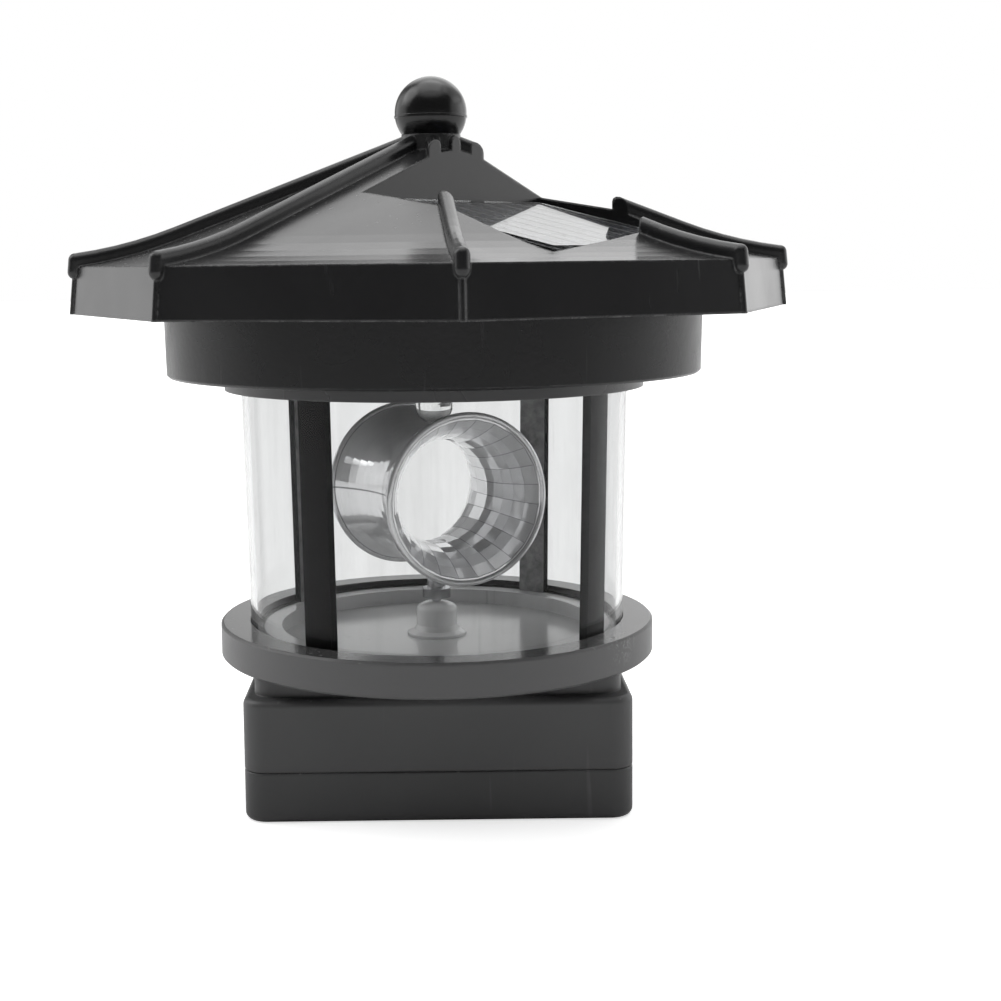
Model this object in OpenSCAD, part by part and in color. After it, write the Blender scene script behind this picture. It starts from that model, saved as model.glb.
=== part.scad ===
// Rotating solar lamp head of a garden lighthouse ornament, in millimetres.
// The origin is the middle of the underside, +Z is up and the photographed front faces -Y.
// A bearing is an angle about the upright axis, measured from the front towards +X.

/* [Battery box] */
// Width of the box, side to side
box_width = 49.4; // [48:0.1:56]
// Depth of the box, front to back
box_depth = 40.4; // [40:0.1:52]
// Height of the screwed cover, up to the parting line
cover_height = 6.5; // [6.3:0.1:9]
// Height of the upper shell, from the parting line to its top edge
shell_height = 9.3; // [9:0.1:12]
// Height of the step that carries the gallery
neck_height = 2.3; // [2:0.1:4]
// How far the step stands in from the sides of the box
neck_inset = 1.3; // [0.8:0.1:1.4]
// How far the step stands in from the front and back of the box
neck_setback = 2; // [1.2:0.1:2.4]
// Wall of the box
box_wall = 1.6; // [1.2:0.1:2]
// Radius of the upright corners
box_corner = 3; // [2.2:0.1:4]
// Radius of the edges that run round the top and bottom
box_edge = 0.9; // [0.4:0.1:1.5]
// Width and depth of the groove at the parting line
seam = 0.25; // [0.1:0.05:0.4]
// Distance of the cover screws from the sides of the box
pillar_inset = 4; // [3.6:0.1:4.4]
// Radius of the pillars round the cover screws
pillar_radius = 2.7; // [2.5:0.1:2.9]

/* [Gallery] */
// Radius of the round gallery
gallery_radius = 29.2; // [28:0.1:32]
// Height of its rim
gallery_height = 4.5; // [4.3:0.1:6]
// Thickness of the floor inside the lantern
gallery_floor = 1.7; // [1.5:0.1:2]
// How far the gallery stands out past the glass
gallery_overhang = 4.05; // [3.6:0.05:4.6]
// Width of the ledge that carries the glass and posts
ledge_width = 4.15; // [3.8:0.05:4.4]
// Depth of the rebates that hold the glass, below and above
glass_rebate = 0.8; // [0.6:0.1:1.1]
// Rounding of the rim of the gallery
gallery_edge = 0.3; // [0.2:0.05:0.6]

/* [Lantern] */
// Clear height between the gallery and the cap
lantern_height = 31.1; // [29:0.1:34]
// How much wider the glass is at the cap than at the gallery
glass_flare = 0.6; // [0.2:0.05:0.9]
// Wall of the glass
glass_wall = 0.8; // [0.6:0.05:0.9]
// Width of a post
post_width = 4.3; // [3.6:0.1:4.8]
// Depth of a post, from the glass inwards
post_depth = 1.1; // [0.9:0.1:1.4]
// Bearing of the two posts on the left of the front and the right of the back, as a turn
post_turn = 52.5; // [50:0.5:56]
// Bearing of the post on the right of the front
post_right_turn = 56.5; // [50:0.5:58]
// Length of the tenons at both ends of a post
tenon_length = 0.7; // [0.5:0.1:0.8]

/* [Reflector] */
// Gap between the rims of its mouths and the posts, all the way round
sweep_gap = 7.8; // [6.6:0.1:9]
// Slope from the middle of the reflector to the rim of a mouth, against the level
mouth_angle = 47.2; // [45:0.2:49]
// How much smaller the neck is than a mouth, in radius
throat_drop = 3.4; // [2.6:0.1:4]
// Wall of the reflector
reflector_wall = 0.8; // [0.6:0.1:1]
// Radius of the bead round each mouth
mouth_bead = 0.4; // [0.3:0.05:0.5]
// Bearing of the mouth that faces the front
reflector_turn = 24; // [0:1:60]
// Number of flat facets round the inside
facet_count = 24; // [16:1:32]
// Rows of facets in each mouth
facet_rows = 5; // [4:1:7]
// Radius of the hole that lets the light in
light_hole = 2.8; // [2.6:0.1:3.2]
// Radius of the turning shaft
shaft_radius = 0.6; // [0.5:0.05:0.8]
// Running clearance round the shaft
shaft_clearance = 0.05; // [0.03:0.01:0.08]
// Gap between the stem and the bush
stem_gap = 0.6; // [0.4:0.1:1]

/* [Cap and drum] */
// How far the disc that holds the glass stands out past it
cap_overhang = 2.15; // [1.6:0.05:2.8]
// Thickness of that disc
cap_thickness = 1.9; // [1.8:0.1:2.4]
// How far the flats of the eaves stand out past the drum
eave_overhang = 8.4; // [8:0.05:9]
// How much wider the drum is at the soffit than at its floor
drum_flare = 0.2; // [0:0.05:0.6]
// Height of the drum from its floor to the lower edge of the fascia
drum_height = 8.25; // [7.6:0.05:11]
// Wall and floor of the drum
drum_wall = 1.6; // [1.4:0.1:2]
// Height of the soffit inside the fascia
soffit_inset = 1.2; // [0.8:0.1:1.6]
// Thickness of the soffit
soffit_thickness = 1.4; // [1.2:0.1:1.6]

/* [Roof] */
// Radius of the eaves, at the corners and the lower edge
eave_radius = 47.6; // [47:0.1:49]
// Turn of the roof about the upright axis
roof_turn = 3.8; // [0:0.1:10]
// Height of the fascia
fascia_height = 6.25; // [5.8:0.05:6.8]
// How far the fascia leans out from top to bottom
fascia_flare = 0.65; // [0.3:0.05:1]
// Rise of a rib along the straight part of the hip, per unit of run
roof_pitch = 0.38; // [0.36:0.002:0.4]
// Pitch of the roof at the eaves
eave_pitch = 0.13; // [0.08:0.01:0.2]
// Run of the bent part of the hip, in from the eaves
bend_run = 12.95; // [10:0.05:15]
// Wall of the roof
roof_wall = 1.6; // [1.4:0.1:1.8]
// Width of a rib
rib_width = 1.8; // [1.5:0.1:2.4]
// Height of a rib over the roof
rib_height = 1.75; // [1.4:0.05:2]
// Radius of the soft edge down each corner of the fascia
corner_bead = 0.35; // [0.2:0.05:0.6]
// Height of the rounded nose that ends each rib, down the fascia
nose_height = 1.6; // [1:0.1:2.4]
// Radius of the hub under the ball
hub_radius = 3.9; // [3.6:0.1:4.1]
// Radius of the ball
ball_radius = 4.75; // [4.4:0.05:5.2]
// Height of the middle of the ball over the hub
ball_lift = 3.05; // [2.8:0.05:3.4]

/* [Solar pocket] */
// Run from the axis to the tall wall of the pocket
pocket_near = 4.35; // [4.3:0.05:4.8]
// Run from the low wall of the pocket to the corner of the eaves
pocket_rim = 14; // [13.2:0.1:15]
// Half of the pocket's width
pocket_half = 17.8; // [17:0.1:18.2]
// Tilt of the panel, falling away from the axis
panel_tilt = 12.7; // [12.2:0.1:13.2]
// Depth of the panel's face below the hub, at the tall wall
panel_drop = 8.2; // [7.8:0.1:8.6]
// Gap between the panel and the walls of the pocket
panel_gap = 0.9; // [0.6:0.1:1.2]
// Thickness of the panel's board
board_sheet = 1.2; // [1:0.1:1.3]
// Thickness of the solar cells
cell_sheet = 0.3; // [0.2:0.05:0.4]
// Thickness of the clear cover
cover_sheet = 0.7; // [0.5:0.1:0.8]
// Number of solar cells side by side
cell_strips = 4; // [3:1:6]
// Wall and floor of the pocket
tray_wall = 1.4; // [1.2:0.1:1.6]

/* [Battery and drive] */
// Radius of the rechargeable cell
cell_radius = 5.2; // [5:0.05:5.25]
// Length of the cell
cell_length = 29.4; // [28:0.1:29.8]
// Radius of the motor
motor_radius = 6; // [5.6:0.1:6.1]
// Height of the motor
motor_height = 9.5; // [8:0.1:9.8]
// Travel of the switch
switch_travel = 2; // [1.6:0.1:2.4]
// Radius of an insulated wire
lead_radius = 0.45; // [0.35:0.05:0.5]

/* [Hidden] */
$fn = 48;

// One overrun serves every cut that has to break through a face
overrun = 0.5;
// Clearance between pieces that are put together by hand
fit = 0.1;
black = "#1c1c1e";
clear = "#dfe5e8";
steel = "#b9bcc0";
copper = "#b87333";

// Levels, from the underside up
box_floor = box_wall;
box_top = cover_height + shell_height;
neck_top = box_top + neck_height;
floor_top = neck_top + gallery_floor;
gallery_top = neck_top + gallery_height;
ledge_level = gallery_top - glass_rebate;
cap_level = gallery_top + lantern_height;
drum_level = cap_level + cap_thickness;
eave_level = drum_level + drum_height;
soffit_level = eave_level + soffit_inset;
soffit_top = soffit_level + soffit_thickness;
fascia_top = eave_level + fascia_height;

// Radii, from the gallery and the eaves inwards
glass_radius_low = gallery_radius - gallery_overhang;
glass_radius_high = glass_radius_low + glass_flare;
well_radius = glass_radius_low - ledge_width;
cap_radius = glass_radius_high + cap_overhang;
drum_radius_high = eave_radius * cos(180 / 8) - eave_overhang;
drum_radius_low = drum_radius_high - drum_flare;
pocket_far = eave_radius - pocket_rim;

// Box
inner_width = box_width - 2 * box_wall;
inner_depth = box_depth - 2 * box_wall;
neck_width = box_width - 2 * neck_inset;
neck_depth = box_depth - 2 * neck_setback;
pillar_x = box_width / 2 - pillar_inset;
pillar_y = box_depth / 2 - pillar_inset;
corners = [[-1, -1], [1, -1], [1, 1], [-1, 1]];

// Screws: shank radius, head radius and head height of the cover screws and of the small screws
screw_shank = 0.95;
screw_head = 1.85;
screw_head_height = 1.4;
screw_clearance = 0.1;
cover_screw_sink = 2.2;
cover_screw_length = 9.5;
cover_screw_reach = cover_screw_length + cover_screw_sink;
small_shank = 0.8;
small_head = 1.5;
small_head_height = 1;

// Battery, lying across the back of the box
cell_x = 1.2;
cell_lift = 0.3;
cell_room = 0.5;
cell_nub_radius = 1.9;
cell_nub = 0.8;
cell_y = inner_depth / 2 - cell_radius - cell_room;
cell_z = box_floor + cell_radius + cell_lift;
cradle_width = 1.2;
cradle_height = 3.6;
cradle_spread = 9;
plate_sheet = 0.4;
plate_width = 8;
plate_height = 9;
tag_drop = 1;
spring_room = 3.2;
spring_turns = 4;
spring_wire = 0.25;
spring_radius_low = 3;
spring_radius_high = 1.8;
plus_end = cell_x + cell_length / 2;
minus_end = cell_x - cell_length / 2;

// Circuit board, on two pegs between the front left pillar and the switch
pcb_width = 16;
pcb_depth = 10.5;
pcb_sheet = 1.2;
pcb_gap = 1.6;
pcb_x = pillar_radius + pcb_gap + pcb_width / 2 - pillar_x;
pcb_room = 0.9;
pcb_lift = 3.8;
pcb_y = -inner_depth / 2 + pcb_depth / 2 + pcb_room;
pcb_level = box_floor + pcb_lift;
pcb_top = pcb_level + pcb_sheet;
pcb_left = pcb_x - pcb_width / 2;
pcb_right = pcb_x + pcb_width / 2;
pcb_back = pcb_y + pcb_depth / 2;
peg_inset = 2;
peg_spread = pcb_width / 2 - peg_inset;
peg_radius = 0.6;
peg_post = 1.5;
chip = [5, 4, 1.4];
resistor = [2.4, 1.2, 0.7];
choke_radius = 1.6;
choke_height = 3;
capacitor_radius = 1.5;
capacitor_height = 2.6;
part_spread = 2.1;
part_inset = 2.1;

// Slide switch, on the floor of the cover at the front right
switch_gap = 0.6;
switch_width = 9.4;
switch_x = pillar_x - pillar_radius - switch_gap - switch_width / 2;
switch_room = 4.1;
switch_depth = 4.6;
switch_y = -inner_depth / 2 + switch_room + switch_depth / 2;
switch_height = 3.4;
foot_width = 3.4;
foot_depth = 2.6;
foot_height = 1.2;
knob_width = 2;
knob_depth = 1.8;
knob_clear = 0.35;
switch_play = 0.15;
recess_width = 8;
recess_depth = 4.4;
recess_sink = 0.7;
recess_corner = 1;

// Motor, strap and their room in the box
motor_top = neck_top;
motor_base = motor_top - motor_height;
motor_bore_rise = 1.2;
motor_tab = 1.6;
motor_tab_width = 1.2;
motor_tab_sheet = 0.4;
motor_tab_spread = 4;
strap_sheet = 0.8;
strap_width = 5;
strap_ear = 5;
strap_room = 0.6;
strap_screw_x = motor_radius + fit + strap_sheet + strap_ear / 2;
strap_end = strap_screw_x + strap_ear / 2;
top_plate = box_wall;

// Screws from the box up into the floor of the gallery
gallery_screw_room = 0.3;
gallery_screw_x = neck_width / 2 - box_wall - small_head - gallery_screw_room;
gallery_screw_y = pillar_y - pillar_radius - small_head - gallery_screw_room;

// Lantern
function inside_glass(radius) = sqrt(pow(radius - glass_wall - fit, 2) - pow(post_width / 2, 2));
post_radius_low = inside_glass(glass_radius_low);
post_radius_high = inside_glass(glass_radius_high);
post_angles = [post_turn - 90, post_right_turn, post_turn + 90, post_turn + 180];
tenon_share = 0.7;
glass_base = ledge_level;
glass_end = cap_level + glass_rebate;
lead_bearing = post_turn + 180;
lead_clearance = 3.85;
lead_ring = post_radius_low - post_depth - lead_clearance;
lead_pitch = 1.1;
lead_shift = 1.1;
lead_room = 0.3;
lead_slot_width = 2 * (lead_pitch + lead_radius + lead_room);
lead_slot_depth = 2 * (lead_radius + lead_room);

// Shaft, bush and reflector
bush_foot = 4;
bush_foot_height = 0.7;
bush_radius = 2.75;
bush_height = 4.5;
bush_spigot = 1.6;
reflector_lift = 17.7;
reflector_level = ledge_level + reflector_lift;
stem_radius = 1.25;
stem_base = floor_top + bush_height + stem_gap;
shaft_bite = 3.2;
shaft_base = motor_base + motor_bore_rise;
shaft_end = stem_base + shaft_bite;
cup_radius = 1.9;
cup_height = 1.3;
sweep_radius = post_radius_low - post_depth - sweep_gap;
mouth_radius = sweep_radius * sin(mouth_angle);
half_length = sweep_radius * cos(mouth_angle);
throat_radius = mouth_radius - throat_drop;
neck_bow = throat_drop;
bow_radius = (half_length * half_length + neck_bow * neck_bow) / (2 * neck_bow);
smooth_band = 1.6;
row_length = (half_length - smooth_band) / facet_rows;

// Lamp
led_radius = 2.5;
led_flange = 2.9;
led_flange_height = 1;
led_reach = 5.2;
led_pin = 0.25;
led_pin_length = 3.4;
led_pin_spread = 1.27;
holder_radius = 3.4;
holder_flange = 4.2;
holder_flange_height = 1;
holder_rise = 0.8;
holder_top = drum_level + holder_rise;
led_pin_top = holder_top + led_flange_height + led_pin_length;
cap_screw_ring = 15;
cap_screw_bearings = [30, 150, 270];

// Roof outline along a hip: a straight run, then an arc that eases to the pitch of the eaves
bend_start = atan(roof_pitch);
bend_end = atan(eave_pitch);
top_radius = eave_radius - fascia_flare;
bend_radius = top_radius - bend_run;
bend_arc = (top_radius - bend_radius) / (sin(bend_start) - sin(bend_end));
bend_steps = 5;
bend_level = fascia_top + bend_arc * (cos(bend_end) - cos(bend_start));
function hip_level(run) = bend_level + roof_pitch * (bend_radius - run);
hub_lip = 0.2;
hub_bite = 0.35;
hub_top = hip_level(hub_radius) + rib_height;
hub_face = hub_top + hub_lip;
bend_points = [
  for (step = [0 : bend_steps])
    let (lean = bend_start + (bend_end - bend_start) * step / bend_steps)
      [bend_radius + bend_arc * (sin(bend_start) - sin(lean)),
       bend_level - bend_arc * (cos(lean) - cos(bend_start))]
];
roof_line = concat([[0, hip_level(0)]], bend_points);
fascia_inner = roof_wall / cos(180 / 8);
boss_radius = 2.4;
soffit_gap = 0.3;
soffit_radius = top_radius - fascia_inner - soffit_gap;
boss_gap = 0.45;
soffit_screw_ring = drum_radius_high + boss_radius + boss_gap;
soffit_screw_sides = [2, 4, 6];
soffit_screw_bite = 2.2;
rib_sides = 6;
rib_sink = 0.6;
hub_sink = 6;
peg = 1.5;
peg_length = 5;
mould_line = 0.06;
mould_line_height = 0.3;
mould_line_drop = 0.35;

// Solar pocket: run along the right front hip, and levels of the panel
panel_stack = board_sheet + cell_sheet + cover_sheet;
panel_level = hub_top - panel_drop;
seat_level = panel_level - panel_stack / cos(panel_tilt);
function seat_at(run) = seat_level - tan(panel_tilt) * (run - pocket_near);
panel_length = (pocket_far - pocket_near) / cos(panel_tilt) - 2 * panel_gap;
panel_width = 2 * (pocket_half - panel_gap);
panel_start = panel_gap - panel_stack * sin(panel_tilt) / 2;
cell_border = 1;
cell_gap = 0.4;
strip_width = (panel_width - 2 * cell_border - (cell_strips - 1) * cell_gap) / cell_strips;
wire_hole = 1.7;
wire_hole_run = 8;

// Levels and places of the wires
lead_gap = 2.1;
bundle_pitch = 1.2;
lead_lift = 2.9;
lead_edge = 1;
lead_pass = 1;
lead_dip = 0.8;
box_lead_level = cell_z + cell_radius + lead_pass;
box_lead_start = pcb_top + lead_lift;
tag_level = box_floor + plate_height - tag_drop;
lamp_lead_level = led_pin_top + 2 * lead_dip;
drum_lead_level = lamp_lead_level + lead_lift;
bundle_x = pcb_left + lead_edge;

module at_bearing(bearing, run, level) {
  rotate([0, 0, bearing - 90]) translate([run, 0, level]) children();
}

// Rectangle that stands on the x axis, with its lower and upper corners rounded
module soft_rect(width, height, low, high) {
  translate([-width / 2, low]) square([width, height - low - high]);
  translate([low - width / 2, 0]) square([width - 2 * low, height / 2]);
  translate([high - width / 2, height / 2]) square([width - 2 * high, height / 2]);
  for (side = [-1, 1]) {
    translate([side * (width / 2 - low), low]) circle(low);
    translate([side * (width / 2 - high), height - high]) circle(high);
  }
}

module soft_plan(width, depth, corner) {
  square([width - 2 * corner, depth], center = true);
  square([width, depth - 2 * corner], center = true);
  for (way = corners)
    translate([way[0] * (width / 2 - corner), way[1] * (depth / 2 - corner)]) circle(corner);
}

// Right half of the same rectangle, from the y axis out
module soft_side(reach, height, low, high) {
  translate([0, low]) square([reach, height - low - high]);
  square([reach - low, height / 2]);
  translate([0, height / 2]) square([reach - high, height / 2]);
  translate([reach - low, low]) circle(low);
  translate([reach - high, height - high]) circle(high);
}

// Block with rounded upright corners, whose lower and upper edges are rounded all the way round
module soft_block(width, depth, height, corner, low, high) {
  rotate([90, 0, 0])
    linear_extrude(depth - 2 * corner, center = true) soft_rect(width, height, low, high);
  rotate([90, 0, 90])
    linear_extrude(width - 2 * corner, center = true) soft_rect(depth, height, low, high);
  for (way = corners)
    translate([way[0] * (width / 2 - corner), way[1] * (depth / 2 - corner), 0])
      rotate_extrude() soft_side(corner, height, low, high);
}

// Pan-head screw that points up, with its head below the origin
module screw_up(shank, head, head_height, length) {
  cylinder(r = shank, h = length);
  translate([0, 0, -head_height])
    difference() {
      cylinder(r = head, h = head_height);
      translate([0, 0, -overrun]) cylinder(r = shank, h = overrun + head_height / 2, $fn = 6);
    }
}

// Insulated wire along a row of points, as one swept tube
function unit(v) = v / norm(v);
function lead_way(path, i) =
  i == 0 ? unit(path[1] - path[0]) :
  i == len(path) - 1 ? unit(path[i] - path[i - 1]) :
  unit(unit(path[i] - path[i - 1]) + unit(path[i + 1] - path[i]));
module swept(path, radius, sides) {
  guide = [0.37, 0.61, 0.7];
  rings = [
    for (i = [0 : len(path) - 1])
      let (way = lead_way(path, i), across = unit(cross(way, guide)), up = cross(way, across))
        for (k = [0 : sides - 1])
          path[i] + radius * (cos(360 * k / sides) * across + sin(360 * k / sides) * up)
  ];
  last = (len(path) - 1) * sides;
  polyhedron(rings, concat(
    [[for (k = [0 : sides - 1]) k]],
    [for (i = [0 : len(path) - 2], k = [0 : sides - 1], half = [0, 1])
      let (next = (k + 1) % sides, a = i * sides + k, c = (i + 1) * sides + next)
        half == 0 ? [a, (i + 1) * sides + k, c] : [a, c, i * sides + next]],
    [[for (k = [sides - 1 : -1 : 0]) last + k]]
  ));
}

// Cuts each corner of a path with short steps, so that a wire bends and does not kink
function eased(path, ease) = concat(
  [path[0]],
  [for (i = [1 : len(path) - 2])
    let (before = path[i - 1] - path[i], after = path[i + 1] - path[i],
         start = path[i] + min(ease, norm(before) / 3) * unit(before),
         end = path[i] + min(ease, norm(after) / 3) * unit(after))
      for (t = [0 : 0.25 : 1])
        (1 - t) * (1 - t) * start + 2 * t * (1 - t) * path[i] + t * t * end],
  [path[len(path) - 1]]
);

module lead(path) swept(eased(path, 4 * lead_radius), lead_radius, 8);

// Battery box

module box_cover() {
  pocket_plan = box_corner - box_wall;
  color(black)
  difference() {
    union() {
      difference() {
        soft_block(box_width, box_depth, cover_height, box_corner, box_edge, seam);
        translate([0, 0, box_floor])
          linear_extrude(cover_height) soft_plan(inner_width, inner_depth, pocket_plan);
      }
      for (way = corners)
        translate([way[0] * pillar_x, way[1] * pillar_y, box_edge])
          cylinder(r = pillar_radius, h = cover_height - box_edge);
      for (side = [-1, 1]) {
        translate([cell_x + side * cradle_spread, cell_y, box_floor]) cradle();
        translate([pcb_x + side * peg_spread, pcb_y, box_floor])
          cylinder(r = peg_post, h = pcb_level - box_floor);
        translate([pcb_x + side * peg_spread, pcb_y, box_floor])
          cylinder(r = peg_radius, h = pcb_top + peg_radius - box_floor);
      }
    }
    for (way = corners)
      translate([way[0] * pillar_x, way[1] * pillar_y, -overrun]) {
        cylinder(r = screw_head + 2 * screw_clearance, h = cover_screw_sink + overrun);
        cylinder(r = screw_shank + screw_clearance, h = cover_height + 2 * overrun);
      }
    translate([switch_x, switch_y, -overrun]) {
      linear_extrude(recess_sink + overrun) soft_plan(recess_width, recess_depth, recess_corner);
      linear_extrude(box_floor + 2 * overrun)
        square([knob_width + switch_travel + 2 * switch_play, knob_depth + 2 * switch_play], center = true);
    }
  }
}

// Two cradles hold the cell up from the floor
module cradle() {
  rotate([90, 0, 90])
    linear_extrude(cradle_width, center = true)
      difference() {
        translate([-cell_radius, 0]) square([2 * cell_radius, cradle_height]);
        translate([0, cell_z - box_floor]) circle(cell_radius + cell_lift);
      }
}

module box_shell() {
  neck_plan = box_corner;
  color(black)
  difference() {
    union() {
      difference() {
        union() {
          translate([0, 0, cover_height])
            soft_block(box_width, box_depth, shell_height, box_corner, seam, box_edge);
          translate([0, 0, box_top - box_wall])
            linear_extrude(neck_height + box_wall) soft_plan(neck_width, neck_depth, neck_plan);
        }
        translate([0, 0, cover_height - overrun])
          linear_extrude(shell_height - box_wall + overrun)
            soft_plan(inner_width, inner_depth, box_corner - box_wall);
        translate([0, 0, cover_height])
          linear_extrude(neck_top - top_plate - cover_height)
            soft_plan(neck_width - 2 * box_wall, neck_depth - 2 * box_wall, neck_plan - box_wall);
      }
      for (way = corners)
        translate([way[0] * pillar_x, way[1] * pillar_y, cover_height])
          cylinder(r = pillar_radius, h = shell_height - box_wall / 2);
    }
    for (way = corners)
      translate([way[0] * pillar_x, way[1] * pillar_y, cover_height - overrun])
        cylinder(r = screw_shank + fit / 2, h = cover_screw_reach - cover_height + 2 * overrun);
    translate([0, 0, neck_top - top_plate - overrun]) {
      cylinder(r = motor_radius + strap_room, h = top_plate + 2 * overrun);
      linear_extrude(top_plate + 2 * overrun)
        square([2 * (strap_end + strap_room), strap_width + 2 * strap_room], center = true);
      for (way = corners)
        translate([way[0] * gallery_screw_x, way[1] * gallery_screw_y, 0])
          cylinder(r = small_shank + screw_clearance, h = top_plate + 2 * overrun);
    }
    lead_slot(neck_top - top_plate, top_plate);
  }
}

module box_screws() {
  color(steel)
  for (way = corners)
    translate([way[0] * pillar_x, way[1] * pillar_y, cover_screw_sink])
      screw_up(screw_shank, screw_head, screw_head_height, cover_screw_length);
}

// Slot for the four wires, just inside the back left post
module lead_slot(level, height) {
  at_bearing(lead_bearing, lead_ring, level - overrun)
    translate([0, lead_shift, 0])
      linear_extrude(height + 2 * overrun) square([lead_slot_depth, lead_slot_width], center = true);
}

module battery_cell() {
  color("seagreen")
  translate([minus_end, cell_y, cell_z])
    rotate([0, 90, 0]) {
      cylinder(r = cell_radius, h = cell_length);
      cylinder(r = cell_nub_radius, h = cell_length + cell_nub);
    }
}

// The plus plate touches the nub, and the minus plate carries the spring
module contact_plates() {
  color(steel)
  for (x = [plus_end + cell_nub, minus_end - spring_room - plate_sheet])
    translate([x, cell_y - plate_width / 2, box_floor]) cube([plate_sheet, plate_width, plate_height]);
}

module contact_spring() {
  steps = 12;
  coil_start = minus_end - spring_room + spring_wire;
  coil_run = spring_room - 2 * spring_wire;
  path = [
    for (i = [0 : spring_turns * steps])
      let (share = i / (spring_turns * steps), turn = 360 * i / steps,
           wind = spring_radius_low + (spring_radius_high - spring_radius_low) * share)
        [coil_start + coil_run * share, cell_y + wind * cos(turn), cell_z + wind * sin(turn)]
  ];
  color(steel) swept(path, spring_wire, 6);
}

module circuit_board() {
  color("darkgreen")
  difference() {
    translate([pcb_x - pcb_width / 2, pcb_y - pcb_depth / 2, pcb_level])
      cube([pcb_width, pcb_depth, pcb_sheet]);
    for (side = [-1, 1])
      translate([pcb_x + side * peg_spread, pcb_y, pcb_level - overrun])
        cylinder(r = peg_radius + fit, h = pcb_sheet + 2 * overrun);
  }
}

// Controller chip, choke, capacitor and two resistors
module board_parts() {
  back = pcb_back - part_inset - choke_radius / 2;
  color("#303234")
    translate([pcb_x - chip[0] / 2, pcb_y - chip[1] + resistor[1], pcb_top]) cube(chip);
  color(copper)
    translate([pcb_x - part_spread, back, pcb_top]) cylinder(r = choke_radius, h = choke_height);
  color(steel)
    translate([pcb_x + part_spread, back, pcb_top]) cylinder(r = capacitor_radius, h = capacitor_height);
  color("#303234")
    for (side = [-1, 1])
      translate([pcb_x + side * chip[0] - resistor[0] / 2, pcb_y - chip[1], pcb_top]) cube(resistor);
}

// Slide switch: a hollow body over the slot, and a slider whose knob stays inside the recess

module switch_body() {
  color(steel)
  translate([switch_x, switch_y, box_floor])
    difference() {
      linear_extrude(switch_height) square([switch_width, switch_depth], center = true);
      translate([0, 0, -overrun])
        linear_extrude(foot_height + 2 * switch_play + overrun)
          square(
            [foot_width + switch_travel + 2 * switch_play, foot_depth + 2 * switch_play],
            center = true);
    }
}

module switch_slider() {
  color("#e8e8e4")
  translate([switch_x - switch_travel / 2, switch_y, 0]) {
    translate([0, 0, box_floor + switch_play])
      linear_extrude(foot_height) square([foot_width, foot_depth], center = true);
    translate([0, 0, knob_clear])
      linear_extrude(box_floor + switch_play - knob_clear + foot_height / 2)
        square([knob_width, knob_depth], center = true);
  }
}

// Motor under the gallery floor

module motor_can() {
  color(steel)
  difference() {
    union() {
      translate([0, 0, motor_base]) cylinder(r = motor_radius, h = motor_height);
      for (side = [-1, 1])
        translate([0, side * motor_tab_spread, motor_base - motor_tab])
          linear_extrude(motor_tab + motor_tab_sheet)
            square([motor_tab_width, motor_tab_sheet], center = true);
    }
    translate([0, 0, shaft_base - fit])
      cylinder(r = shaft_radius + shaft_clearance, h = motor_height + overrun);
  }
}

// Bent strap with an ear at each side, screwed to the underside of the gallery floor
module motor_strap() {
  inner = motor_radius + fit;
  outer = inner + strap_sheet;
  color(steel)
  difference() {
    rotate([90, 0, 0])
      linear_extrude(strap_width, center = true) {
        translate([-outer, motor_base - strap_sheet]) square([2 * outer, strap_sheet]);
        for (side = [-1, 1]) {
          translate([side * (inner + strap_sheet / 2) - strap_sheet / 2, motor_base - strap_sheet])
            square([strap_sheet, motor_height + strap_sheet]);
          translate([side * (outer + strap_ear / 2) - strap_ear / 2, motor_top - strap_sheet])
            square([strap_ear, strap_sheet]);
        }
      }
    for (side = [-1, 1])
      translate([side * strap_screw_x, 0, motor_top - strap_sheet - overrun])
        cylinder(r = small_shank + screw_clearance, h = strap_sheet + 2 * overrun);
  }
}

module strap_screws() {
  color(steel)
  for (side = [-1, 1])
    translate([side * strap_screw_x, 0, motor_top - strap_sheet])
      screw_up(small_shank, small_head, small_head_height, strap_sheet + gallery_floor - 2 * fit);
}

module gallery_screws() {
  color(steel)
  for (way = corners)
    translate([way[0] * gallery_screw_x, way[1] * gallery_screw_y, neck_top - top_plate])
      screw_up(small_shank, small_head, small_head_height, top_plate + gallery_floor - 2 * fit);
}

// Lantern

module post_socket(level, height, radius) {
  for (bearing = post_angles)
    at_bearing(bearing, radius - post_depth / 2, level)
      linear_extrude(height)
        square([post_depth * tenon_share + 2 * fit, post_width * tenon_share + 2 * fit], center = true);
}

module gallery_ring() {
  rim = glass_radius_low + fit;
  color(black)
  difference() {
    rotate_extrude($fn = 96)
      polygon([
        [0, neck_top],
        [gallery_radius - gallery_edge, neck_top],
        [gallery_radius, neck_top + gallery_edge],
        [gallery_radius, gallery_top - gallery_edge],
        [gallery_radius - gallery_edge, gallery_top],
        [rim, gallery_top],
        [rim, ledge_level],
        [well_radius, ledge_level],
        [well_radius, floor_top],
        [0, floor_top]
      ]);
    translate([0, 0, neck_top - overrun])
      cylinder(r = bush_spigot + fit / 2, h = gallery_floor + 2 * overrun);
    post_socket(ledge_level - tenon_length - fit, tenon_length + fit + overrun, post_radius_low);
    for (way = corners)
      translate([way[0] * gallery_screw_x, way[1] * gallery_screw_y, neck_top - overrun])
        cylinder(r = small_shank + fit / 2, h = gallery_floor - fit + overrun);
    for (side = [-1, 1])
      translate([side * strap_screw_x, 0, neck_top - overrun])
        cylinder(r = small_shank + fit / 2, h = gallery_floor - fit + overrun);
    lead_slot(neck_top, gallery_floor);
  }
}

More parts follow.
